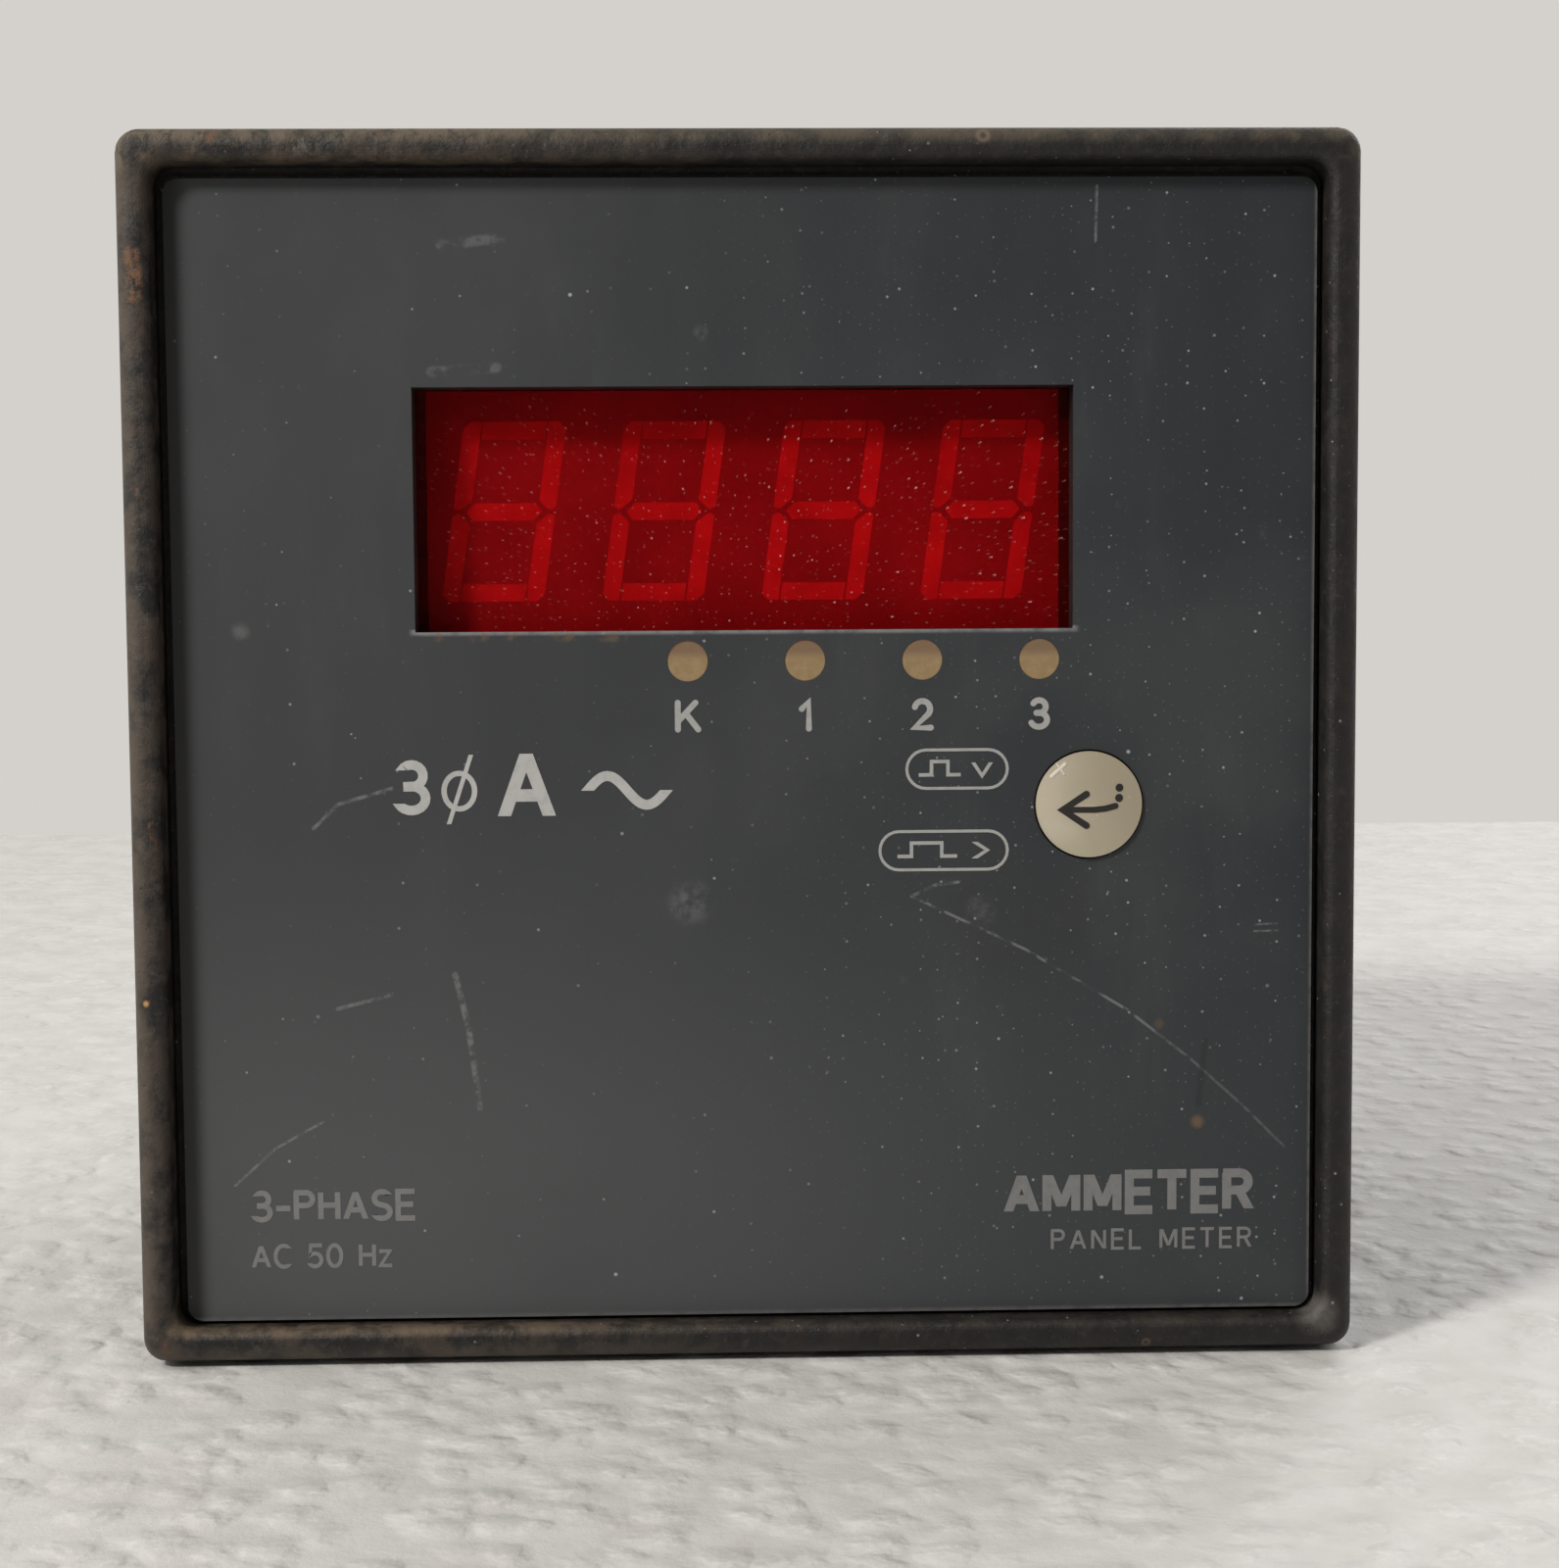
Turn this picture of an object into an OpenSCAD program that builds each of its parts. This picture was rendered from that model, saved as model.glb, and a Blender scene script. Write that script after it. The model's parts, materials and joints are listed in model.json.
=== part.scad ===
// Panel-mounting digital ammeter for three-phase AC, 96 x 96 mm front.
// Frame: +X to the right seen from the front, +Z up, the front faces -Y.
// Origin: centre of the bezel's rear rim, which seats on the panel.

/* [Bezel] */
// Width and height of the square front bezel
bezel_size = 96; // [94:0.5:100]
// Depth of the bezel in front of the panel
bezel_depth = 10; // [9.5:0.5:12]
// Radius of the bezel's outer corners
bezel_corner_r = 1.9; // [1.9:0.1:3.2]
// Radius that rounds the bezel's front outer edge
bezel_edge_r = 1.5; // [0.8:0.1:1.5]
// Side of the square opening that frames the faceplate
opening_size = 90.8; // [90.4:0.1:91]
// Radius of the opening's corners
opening_corner_r = 1.6; // [1.5:0.1:2.4]
// Radius that rounds the rim's inner edge
lip_r = 0.8; // [0.5:0.05:1]
// Depth from the rim's front to the faceplate
face_recess = 2.2; // [1.6:0.1:2.6]

/* [Faceplate] */
// Side of the square printed faceplate
face_size = 89.5; // [89:0.1:89.9]
// How far the faceplate sits to the right of the opening's middle
face_shift = 0.1; // [-0.2:0.05:0.2]
// How far the faceplate sits below the opening's middle
face_drop = 0.35; // [0:0.05:0.4]
// Thickness of the faceplate film
face_t = 0.4; // [0.2:0.05:0.6]
// Thickness of the bezel's backing plate
plate_t = 2; // [1.6:0.1:2.4]
// Width of the display window
window_w = 51.6; // [50:0.2:54]
// Height of the display window
window_h = 19; // [18:0.2:22]
// Height of the window's centre above the middle
window_z = 18.9; // [16:0.1:22]
// Diameter of each indicator dot
dot_d = 3.2; // [2.8:0.1:3.6]
// Spacing of the four indicator dots
dot_pitch = 9.22; // [8:0.1:10]
// Sideways place of the first indicator dot
dot_x = -4.55; // [-6:0.1:-3]
// Height of the indicator dots above the middle
dot_z = 7; // [6:0.1:8]

/* [Key] */
// Diameter of the visible key
key_d = 8.4; // [8:0.1:9]
// Sideways place of the key
key_x = 27.05; // [25:0.1:30]
// Height of the key above the middle
key_z = -4.5; // [-6:0.1:-3]
// Travel of the key
key_travel = 0.4; // [0.2:0.05:0.5]

/* [Display] */
// Width of the four-digit display module
module_w = 50.3; // [49:0.1:51]
// Height of the display module
module_h = 19; // [18:0.1:20]
// Height of one digit
digit_h = 14.2; // [13:0.1:14.5]
// Width of one digit
digit_w = 8.1; // [7.5:0.1:8.4]
// Spacing of the digits
digit_pitch = 12.7; // [12.5:0.1:12.8]
// Lean of the digits in degrees
digit_lean = 8; // [0:1:10]
// Width of a display segment
segment_w = 1.4; // [1.1:0.1:1.6]

/* [Housing] */
// Side of the square housing behind the panel
housing_size = 90.4; // [89.6:0.1:90.4]
// Depth of the housing behind the panel
housing_depth = 56; // [54:1:70]
// Wall thickness of the housing
wall = 2; // [1.6:0.1:2.4]

/* [Terminals] */
// Spacing of the terminals
way_pitch = 10.5; // [10:0.1:11]
// Number of terminals in each block
ways = 4; // [4:1:4]
// Depth of the terminal recess in the housing
recess_depth = 14; // [13:0.5:15]
// Width of the terminal recess in the housing
recess_w = 12; // [11.5:0.5:13]

/* [Clamps] */
// Travel of each clamp arm along its screw
clamp_travel = 15.4; // [10:0.2:15.4]
// Length of a clamp arm from its screw to its tip
arm_len = 12.6; // [11:0.2:13]

/* [Hidden] */
$fn = 48;
eps = 0.1;
fit_gap = 0.1;

// Depths along Y, front to rear
rim_y = -bezel_depth;
edge_y = rim_y + bezel_edge_r;
face_y = rim_y + face_recess;
plate_y = face_y + face_t;
plate_back_y = plate_y + plate_t;
filter_t = 1.2;
filter_back_y = plate_back_y + filter_t;
module_y = filter_back_y + 0.2;
module_depth = 8;
board_t = 1.6;
display_board_y = module_y + module_depth;
display_board_back_y = display_board_y + board_t;
housing_front_y = plate_back_y + 0.4;
main_board_y = 36.4;
main_board_back_y = main_board_y + board_t;

// Rim and opening
rim_half = bezel_size / 2;
opening_half = opening_size / 2;
face_corner_r = 1.2;
lip_steps = 6;
moat_w = 0.75;
moat_depth = 0.8;

// Display board fixings
board_size = 81;
board_corner_r = 1.5;
boss_r = 3;
boss_places = [[-37, 37], [37, -37], [28, 37], [-28, -37]];
screw_core_r = 1.1;
screw_head_r = 2.2;
screw_head_h = 1.5;

// Key and its push switch
key_flange_r = key_d / 2 + 1;
key_front_y = face_y - 0.55;
key_stem_r = 2;
switch_front_y = 0.6;
switch_half = 3;
plunger_front_y = -1.2;
plunger_r = 1.7;

// Snap hooks that hold the bezel to the housing
hook_xs = [-14, 14];
hook_w = 8;
hook_t = 1.8;
hook_nose = 1.7;
hook_y = 4.5;
hook_end_y = 8;

// Housing, its corner notches for the clamps and its side recesses for the terminals
housing_half = housing_size / 2;
cavity_half = housing_half - wall;
back_y = housing_depth;
notch_x = 35;
notch_z = 26;
notch_front_y = 1;
recess_y = back_y - recess_depth;
recess_x = housing_half - recess_w;
block_z = 12;
block_wall = 1.5;
block_len = ways * way_pitch + block_wall;
block_gap = 0.2;
post_places = [[-27, 38], [27, 38], [-27, -38], [27, -38]];
vent_count = 9;
vent_pitch = 5;
vent_w = 1.6;
vent_len = 20;
vent_y = 14;

// Terminals
base_t = 3;
terminal_y = recess_y + base_t;
terminal_plate_t = 0.8;
washer_t = 0.9;
terminal_x = housing_half - 4.4;
link_x = housing_half - 8.8;
link_r = 1.1;
way_offsets = [for (i = [0 : ways - 1]) (i - (ways - 1) / 2) * way_pitch];
// Pairs of ways that carry one phase's current, as [side, centre height]
phase_pairs = [
    [-1, block_z + way_pitch],
    [-1, block_z - way_pitch],
    [1, -block_z - way_pitch]
];
supply_centre = -block_z + way_pitch;
transformer_ring_x = 34;
transformer_ring_y = 26;

// Supply transformer, standing on the main board
supply_x = 9;
supply_z = -20;
core_w = 30;
core_h = 25;
core_t = 11;
core_leg = 5;

// Smoothing capacitors, as [x, z, radius, height]
capacitors = [[-12, 10, 6, 22], [-14, -14, 5, 18]];

// Flat cable between the two boards, with a connector at each end
cable_x = -16;
cable_z = 31;
cable_w = 13;
cable_t = 0.8;
connector_h = 2.5;

// Glass fuse in two spring clips
fuse_x = 10;
fuse_z = 11;
fuse_y = main_board_y - 4.5;
fuse_r = 2.5;
fuse_len = 20;

// Leads that go through the main board
lead_r = 0.4;
rectifier_leads = [for (sx = [0, 1], sz = [0, 1]) [sx * 5, -3.2 + sz * 5.4]];
bobbin_leads = [for (sx = [-1, 1], sz = [-1, 1]) [supply_x + sx * 7.5, supply_z + sz * 9]];
varistor_leads = [for (s = [-1, 1]) [28, 12 + s * 2.5]];
regulator_leads = [for (i = [-1 : 1]) [-15.5 + i * 2.54, -26]];
film_leads = [for (s = [-1, 1]) [11 + s * 7.5, 25.5]];
capacitor_leads = [for (c = capacitors, s = [-1, 1]) [c[0] + s * 2.5, c[1]]];
board_leads = concat(
    rectifier_leads, bobbin_leads, varistor_leads, regulator_leads, film_leads, capacitor_leads
);

// Clamps
clamp_x = 40;
clamp_z = 40;
journal_r = 1.6;
thread_r = 1.95;
running = 0.05;
clip_y = 17;
clip_t = 0.6;
arm_y = clip_y + clip_t + fit_gap;
arm_back_y = 24.5;
clamp_washer_t = 0.8;
shoulder_y = arm_back_y + fit_gap + clamp_washer_t;
lug_y = 26;
lug_t = 5;
nut_t = 3.2;
nut_flats = 7;
clamp_head_y = lug_y + lug_t + clamp_travel + 1.1;
clamp_head_h = 2.6;
clamp_head_r = 3.5;
hub_r = 4.4;

// A flat outline in X and Z, made solid from y0 to y1
module slab(y0, y1) {
    translate([0, y1, 0]) rotate([90, 0, 0]) linear_extrude(height = y1 - y0) children();
}

// A rod along Y at x, z
module rod(x, z, r, y0, y1) {
    translate([x, 0, z]) slab(y0, y1) circle(r = r);
}

// A box given by its lowest and highest corners
module block(low, high) {
    translate(low) cube(high - low);
}

// A square outline with round corners
module round_square(size, r) {
    straight = size - 2 * r;
    square([size, straight], center = true);
    square([straight, size], center = true);
    for (sx = [-1, 1], sz = [-1, 1]) translate([sx * straight / 2, sz * straight / 2]) circle(r = r);
}

// A rectangle with round corners, from its own centre
module round_rect(w, h, r) {
    square([w, h - 2 * r], center = true);
    square([w - 2 * r, h], center = true);
    for (sx = [-1, 1], sz = [-1, 1]) translate([sx * (w / 2 - r), sz * (h / 2 - r)]) circle(r = r);
}

// What comes in two, a half turn about Y apart
module half_turn() {
    rotate([0, 180, 0]) children();
}

module both_turns() {
    children();
    half_turn() children();
}

// Half of the rim's section, from the centre line out: the front edge is round
module rim_section(half) {
    translate([0, -bezel_depth]) square([half - bezel_edge_r, bezel_depth]);
    translate([0, -bezel_depth + bezel_edge_r]) square([half, bezel_depth - bezel_edge_r]);
    translate([half - bezel_edge_r, -bezel_depth + bezel_edge_r]) circle(r = bezel_edge_r);
}

module full_rim_section() {
    rim_section(rim_half);
    mirror([1, 0]) rim_section(rim_half);
}

// Solid bezel block with round corners and a round front edge
module bezel_block() {
    straight = bezel_size - 2 * bezel_corner_r;
    translate([0, 0, -straight / 2]) linear_extrude(height = straight) full_rim_section();
    rotate([0, 90, 0]) translate([0, 0, -straight / 2]) linear_extrude(height = straight) full_rim_section();
    for (turn = [0 : 90 : 270])
        rotate([0, turn, 0])
            translate([straight / 2, 0, straight / 2])
                rotate([-90, 0, 0])
                    rotate([0, 0, -90])
                        rotate_extrude(angle = 90) rim_section(bezel_corner_r);
}

// Half of the section of the cut that rounds the opening's front edge, in short steps
module lip_section(half) {
    above = 1;
    corner = [half + lip_r, -bezel_depth + lip_r];
    turn = 90 / lip_steps;
    round_edge = [for (i = [0 : lip_steps]) corner - lip_r * [sin(i * turn), cos(i * turn)]];
    polygon(concat(
        [[0, corner[1]], [0, -bezel_depth - above], [corner[0], -bezel_depth - above]],
        round_edge
    ));
}

module full_lip_section() {
    lip_section(opening_half);
    mirror([1, 0]) lip_section(opening_half);
}

module lip_cut() {
    straight = opening_size - 2 * opening_corner_r;
    translate([0, 0, -straight / 2]) linear_extrude(height = straight) full_lip_section();
    rotate([0, 90, 0]) translate([0, 0, -straight / 2]) linear_extrude(height = straight) full_lip_section();
    for (turn = [0 : 90 : 270])
        rotate([0, turn, 0])
            translate([straight / 2, 0, straight / 2])
                rotate([-90, 0, 0])
                    rotate([0, 0, -90])
                        rotate_extrude(angle = 90) lip_section(opening_corner_r);
}

module window_outline() {
    translate([0, window_z]) square([window_w, window_h], center = true);
}

module dot_places() {
    for (i = [0 : 3]) translate([dot_x + i * dot_pitch, dot_z]) children();
}

module snap_hook() {
    top = cavity_half - 0.2;
    translate([-hook_w / 2, 0, 0])
        rotate([90, 0, 90])
            linear_extrude(height = hook_w)
                polygon([
                    [plate_back_y - eps, top - hook_t],
                    [hook_end_y, top - hook_t],
                    [hook_end_y, top - 0.4],
                    [hook_y, top + hook_nose],
                    [hook_y, top],
                    [plate_back_y - eps, top]
                ]);
}

module front_bezel() color([0.09, 0.085, 0.08]) {
    difference() {
        union() {
            difference() {
                bezel_block();
                lip_cut();
                slab(rim_y - 1, plate_y) round_square(opening_size, opening_corner_r);
                slab(plate_back_y, 1) round_square(housing_size + 2 * fit_gap, bezel_corner_r - 1);
            }
            for (p = boss_places) rod(p[0], p[1], boss_r, plate_back_y - eps, display_board_y);
            for (x = hook_xs, turn = [0, 180]) rotate([0, turn, 0]) translate([x, 0, 0]) snap_hook();
            guide_ring();
        }
        slab(plate_y - eps, plate_y + moat_depth) difference() {
            round_square(opening_size, opening_corner_r);
            round_square(opening_size - 2 * moat_w, opening_corner_r - moat_w);
        }
        slab(plate_y - 1, plate_back_y + 1) {
            window_outline();
            dot_places() circle(r = dot_d / 2 + 0.1);
            translate([key_x, key_z]) circle(r = key_d / 2 + 0.15);
        }
        for (p = boss_places) rod(p[0], p[1], screw_core_r - 0.1, plate_back_y + 1, display_board_y + eps);
    }
}

// Collar behind the plate that guides the key's flange
module guide_ring() {
    translate([key_x, 0, key_z]) slab(plate_back_y - eps, plate_back_y + 1.6) difference() {
        circle(r = key_flange_r + 1.4);
        circle(r = key_flange_r + 0.15);
    }
}

module front_overlay() color([0.25, 0.27, 0.28]) {
    slab(face_y, plate_y) difference() {
        translate([face_shift, -face_drop]) round_square(face_size, face_corner_r);
        window_outline();
        dot_places() circle(r = dot_d / 2);
        translate([key_x, key_z]) circle(r = key_d / 2 + 0.15);
    }
}

module led_windows() color([0.62, 0.53, 0.37]) {
    slab(face_y + 0.05, plate_y) dot_places() circle(r = dot_d / 2 - 0.02);
}

module display_filter() color([0.5, 0.02, 0.03, 0.6]) {
    side = 2;
    above = 2;
    below = 0.5;
    translate([0, 0, window_z + (above - below) / 2])
        slab(plate_back_y, filter_back_y) round_rect(window_w + 2 * side, window_h + above + below, 0.4);
}

// One display digit, as seven segment outlines about its own centre
module lean(p) {
    polygon([for (q = p) [q[0] + q[1] * tan(digit_lean), q[1]]]);
}

module digit() {
    half_w = digit_w / 2;
    half_h = digit_h / 2;
    t = segment_w;
    gap = 0.18;
    bar_gap = 0.12;
    cut = 0.55;
    in_x = half_w - t;
    // The four uprights, each with its outer corner cut off
    for (sx = [-1, 1], sz = [-1, 1])
        lean([
            [sx * in_x, sz * half_h],
            [sx * (half_w - cut), sz * half_h],
            [sx * half_w, sz * (half_h - cut)],
            [sx * half_w, sz * 0.35],
            [sx * (half_w - 0.3), sz * gap],
            [sx * (half_w - 0.6), sz * gap],
            [sx * in_x, sz * (gap + 0.75)]
        ]);
    // The top and bottom bars
    for (sz = [-1, 1])
        lean([
            [-in_x + bar_gap, sz * half_h],
            [in_x - bar_gap, sz * half_h],
            [in_x - bar_gap, sz * (half_h - t)],
            [-in_x + bar_gap, sz * (half_h - t)]
        ]);
    // The middle bar, pointed at both ends
    lean([
        [-in_x - 0.35, 0],
        [-in_x + 0.25, t / 2],
        [in_x - 0.25, t / 2],
        [in_x + 0.35, 0],
        [in_x - 0.25, -t / 2],
        [-in_x + 0.25, -t / 2]
    ]);
}

module digits() {
    translate([0, window_z]) for (i = [0 : 3]) translate([(i - 1.5) * digit_pitch, 0]) digit();
}

module display_housing() color([0.3, 0.02, 0.03]) {
    difference() {
        translate([0, 0, window_z])
            slab(module_y, display_board_y) square([module_w, module_h], center = true);
        slab(module_y - 1, module_y + 0.6) digits();
    }
}

module display_segments() color([0.7, 0.05, 0.05]) {
    slab(module_y + 0.02, module_y + 0.6) digits();
}

module status_leds() color([0.8, 0.2, 0.15]) {
    led_r = 1.5;
    for (i = [0 : 3]) translate([dot_x + i * dot_pitch, 0, dot_z]) {
        difference() {
            rotate([90, 0, 0])
                translate([0, 0, 2.7])
                    rotate_extrude() intersection() {
                        union() {
                            translate([0, 2.4]) circle(r = led_r);
                            square([led_r, 2.4]);
                            square([1.9, 1]);
                        }
                        square([3, 5]);
                    }
        }
        for (s = [-1, 1]) block([s * 1.27 - 0.25, -2.8, -0.25], [s * 1.27 + 0.25, display_board_y, 0.25]);
    }
}

module key_cap() color([0.78, 0.74, 0.64]) {
    key_r = key_d / 2;
    dome_r = 34;
    edge_r = 0.35;
    translate([key_x, 0, key_z]) rotate([-90, 0, 0]) rotate_extrude() {
        intersection() {
            union() {
                translate([0, key_front_y + edge_r]) square([key_r, plate_back_y - key_front_y]);
                translate([0, key_front_y]) square([key_r - edge_r, 1]);
                translate([key_r - edge_r, key_front_y + edge_r]) circle(r = edge_r);
            }
            translate([0, key_front_y + dome_r]) circle(r = dome_r, $fn = 96);
            translate([0, key_front_y - 1]) square([key_r, plate_back_y - key_front_y + 1.2]);
        }
        translate([0, plate_back_y + 0.1]) square([key_flange_r, 1]);
        translate([0, plate_back_y]) square([key_stem_r, plunger_front_y - plate_back_y]);
    }
}

module switch_plunger() color([0.12, 0.12, 0.12]) {
    rod(key_x, key_z, plunger_r, plunger_front_y, 1.5);
    rod(key_x, key_z, plunger_r + 0.5, 0.75, 1.5);
}

module switch_body() color([0.13, 0.13, 0.13]) {
    difference() {
        block(
            [key_x - switch_half, switch_front_y, key_z - switch_half],
            [key_x + switch_half, display_board_y, key_z + switch_half]
        );
        rod(key_x, key_z, plunger_r + 0.8, switch_front_y - 1, 3.1);
    }
    for (sx = [-1, 1], sz = [-1, 1])
        block(
            [key_x + sx * 3.25 - 0.25, 2.6, key_z + sz * 2.25 - 0.35],
            [key_x + sx * 3.25 + 0.25, display_board_back_y + 1, key_z + sz * 2.25 + 0.35]
        );
}

module switch_dome() color([0.75, 0.75, 0.73]) {
    translate([key_x, 3.05, key_z]) rotate([90, 0, 0]) rotate_extrude() {
        intersection() {
            difference() {
                translate([0, -4.6]) circle(r = 5.4);
                translate([0, -4.6]) circle(r = 5.2);
            }
            square([2.4, 2]);
        }
    }
}

module switch_cover() color([0.7, 0.7, 0.7]) {
    difference() {
        block(
            [key_x - switch_half, switch_front_y - 0.3, key_z - switch_half],
            [key_x + switch_half, switch_front_y, key_z + switch_half]
        );
        rod(key_x, key_z, plunger_r + 0.1, switch_front_y - 1, switch_front_y + 1);
    }
}

// Outline of the space inside the housing, without the clamp notches
module notch_outline(x0, z0) {
    translate([x0, z0]) square([bezel_size, bezel_size]);
    rotate(180) translate([x0, z0]) square([bezel_size, bezel_size]);
}

module board_outline(size) {
    difference() {
        round_square(size, board_corner_r);
        notch_outline(notch_x - wall - 1, notch_z - wall - 1);
    }
}

module display_board() color([0.1, 0.35, 0.18]) {
    slab(display_board_y, display_board_back_y) difference() {
        board_outline(board_size);
        for (p = boss_places) translate(p) circle(r = screw_core_r + 0.2);
        translate([key_x, key_z])
            for (sx = [-1, 1], sz = [-1, 1]) translate([sx * 3.25, sz * 2.25]) circle(r = 0.6);
    }
}

// A pan-head screw along Y: its head sits at y, on the side that dir gives
module board_screw(x, z, y, dir, len) {
    low = dir > 0 ? y : y - screw_head_h;
    top = dir > 0 ? y + screw_head_h : low;
    slot_w = 0.6;
    slot_d = 1.2;
    difference() {
        rod(x, z, screw_head_r, low, low + screw_head_h);
        translate([x, top, z]) {
            cube([3 * screw_head_r, slot_d, slot_w], center = true);
            cube([slot_w, slot_d, 2.6], center = true);
        }
    }
    rod(x, z, screw_core_r - 0.15, dir > 0 ? y - len : y - eps, dir > 0 ? y + eps : y + len);
}

module display_board_screws() color([0.72, 0.72, 0.7]) {
    for (p = boss_places) board_screw(p[0], p[1], display_board_back_y, 1, 7);
}

module chip(x, z, w, h, pins, y) {
    lead_w = 0.35;
    block([x - w / 2, y + 0.1, z - h / 2], [x + w / 2, y + 1.6, z + h / 2]);
    for (i = [0 : pins - 1], s = [-1, 1])
        block(
            [x - w / 2 + (i + 0.5) * w / pins - lead_w / 2, y, z + s * (h / 2 + 0.5) - 0.6],
            [x - w / 2 + (i + 0.5) * w / pins + lead_w / 2, y + 0.5, z + s * (h / 2 + 0.5) + 0.6]
        );
}

module microcontroller() color([0.1, 0.1, 0.11]) chip(6, -14, 10, 10, 11, display_board_back_y);

module driver_chips() color([0.12, 0.12, 0.12]) {
    for (x = [-16, -2]) chip(x, 4, 10, 6, 8, display_board_back_y);
}

module crystal() color([0.8, 0.8, 0.78]) {
    translate([6, 0, -4]) slab(display_board_back_y, display_board_back_y + 3.5) round_rect(11, 4.6, 2.2);
}

module board_connectors() color([0.85, 0.83, 0.75]) {
    for (y = [display_board_back_y, main_board_y - connector_h])
        block([cable_x - 8, y, cable_z - 3], [cable_x + 8, y + connector_h, cable_z + 3]);
}

module ribbon_cable() color([0.6, 0.6, 0.6]) {
    y0 = display_board_back_y + connector_h;
    y1 = main_board_y - connector_h;
    half_span = (y1 - y0) / 2;
    sag = 5;
    bend_r = (half_span * half_span + sag * sag) / (2 * sag);
    translate([cable_x - cable_w / 2, (y0 + y1) / 2, cable_z + bend_r - sag])
        rotate([90, 0, 90])
            linear_extrude(height = cable_w)
                intersection() {
                    difference() {
                        circle(r = bend_r + cable_t / 2, $fn = 96);
                        circle(r = bend_r - cable_t / 2, $fn = 96);
                    }
                    translate([-half_span, -2 * bend_r]) square([2 * half_span, 2 * bend_r]);
                }
}

module main_board() color([0.1, 0.35, 0.18]) {
    slab(main_board_y, main_board_back_y) difference() {
        board_outline(2 * cavity_half - 2);
        for (p = post_places) translate(p) circle(r = screw_core_r + 0.2);
        for (p = board_leads) translate(p) circle(r = lead_r + 0.1);
        for (s = [-1, 1], w = way_offsets)
            translate([s * link_x, -s * block_z + w]) circle(r = link_r + 0.3);
    }
}

module main_board_screws() color([0.72, 0.72, 0.7]) {
    for (p = post_places) board_screw(p[0], p[1], main_board_y, -1, 7);
}

// Leads that run from y0 through the main board
module leads(places, y0) {
    for (p = places) rod(p[0], p[1], lead_r, y0, main_board_back_y + 1);
}

// Three ring transformers, one round each phase's copper link
module current_transformers() color([0.15, 0.3, 0.55]) {
    ring_r = 9;
    hole_r = 4.2;
    ring_t = 7.6;
    edge = 1;
    for (p = phase_pairs)
        translate([p[0] * transformer_ring_x, transformer_ring_y, p[1]])
            rotate_extrude() translate([(ring_r + hole_r) / 2, 0]) round_rect(ring_r - hole_r, ring_t, edge);
}

module terminal_links() color([0.72, 0.42, 0.25]) {
    for (p = phase_pairs) translate([p[0] * link_x, 0, p[1]]) {
        for (s = [-1, 1])
            rod(0, s * way_pitch / 2, link_r, transformer_ring_y, terminal_y);
        for (s = [-1, 1]) translate([0, transformer_ring_y, s * way_pitch / 2]) sphere(r = link_r);
        translate([0, transformer_ring_y, -way_pitch / 2]) cylinder(h = way_pitch, r = link_r);
    }
    for (s = [-1, 1])
        rod(link_x, supply_centre + s * way_pitch / 2, link_r, main_board_y - 1.5, terminal_y);
}

module transformer_core() color([0.45, 0.45, 0.47]) {
    low = main_board_y - 2 - core_h;
    difference() {
        block(
            [supply_x - core_w / 2, low, supply_z - core_t / 2],
            [supply_x + core_w / 2, low + core_h, supply_z + core_t / 2]
        );
        for (s = [-1, 1])
            block(
                [supply_x + s * 7.5 - 2.5, low + core_leg, supply_z - core_t],
                [supply_x + s * 7.5 + 2.5, low + core_h - core_leg, supply_z + core_t]
            );
    }
}

module transformer_bobbin() color([0.9, 0.88, 0.8]) {
    low = main_board_y - 2 - core_h + core_leg;
    high = low + core_h - 2 * core_leg;
    flange = 1;
    for (y = [low + 0.1, high - flange - 0.1])
        bobbin_ring(y, y + flange, 9.8);
    bobbin_ring(low + 0.1, high - 0.1, 6);
    leads(bobbin_leads, high - flange);
}

module bobbin_ring(y0, y1, half) {
    translate([supply_x, 0, supply_z]) slab(y0, y1) difference() {
        square([2 * min(half, 9.8), 2 * (half + 1)], center = true);
        square([10.2, core_t + 0.2], center = true);
    }
}

module transformer_winding() color([0.8, 0.62, 0.2]) {
    low = main_board_y - 2 - core_h + core_leg;
    high = low + core_h - 2 * core_leg;
    translate([supply_x, 0, supply_z]) slab(low + 1.3, high - 1.3) difference() {
        round_rect(18.8, 20.6, 2);
        square([12.2, 14.2], center = true);
    }
}

module smoothing_capacitors() color([0.1, 0.12, 0.2]) {
    for (c = capacitors)
        translate([c[0], 0, c[1]]) difference() {
            slab(main_board_y - c[3], main_board_y - 0.2) circle(r = c[2]);
            translate([0, main_board_y - 3, 0]) rotate([90, 0, 0]) rotate_extrude()
                translate([c[2] + 0.4, 0]) circle(r = 0.8);
        }
    leads(capacitor_leads, main_board_y - 0.3);
}

module film_capacitor() color([0.75, 0.6, 0.1]) {
    block([2, main_board_y - 13, 22], [20, main_board_y - 0.3, 29]);
    leads(film_leads, main_board_y - 0.4);
}

module varistor() color([0.1, 0.2, 0.5]) {
    translate([26, main_board_y - 8, 12]) rotate([0, 90, 0])
        rotate_extrude() {
            square([5, 4], center = false);
            translate([5, 2]) circle(r = 2);
        }
    leads(varistor_leads, main_board_y - 3);
}

module rectifier_bridge() color([0.1, 0.1, 0.1]) {
    block([-2, main_board_y - 3.4, -4], [7, main_board_y - 0.3, 3]);
    leads(rectifier_leads, main_board_y - 0.4);
}

module voltage_regulator() color([0.1, 0.1, 0.1]) {
    block([-20.5, main_board_y - 15, -28], [-10.5, main_board_y - 6, -24]);
    leads(regulator_leads, main_board_y - 6.1);
}

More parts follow.
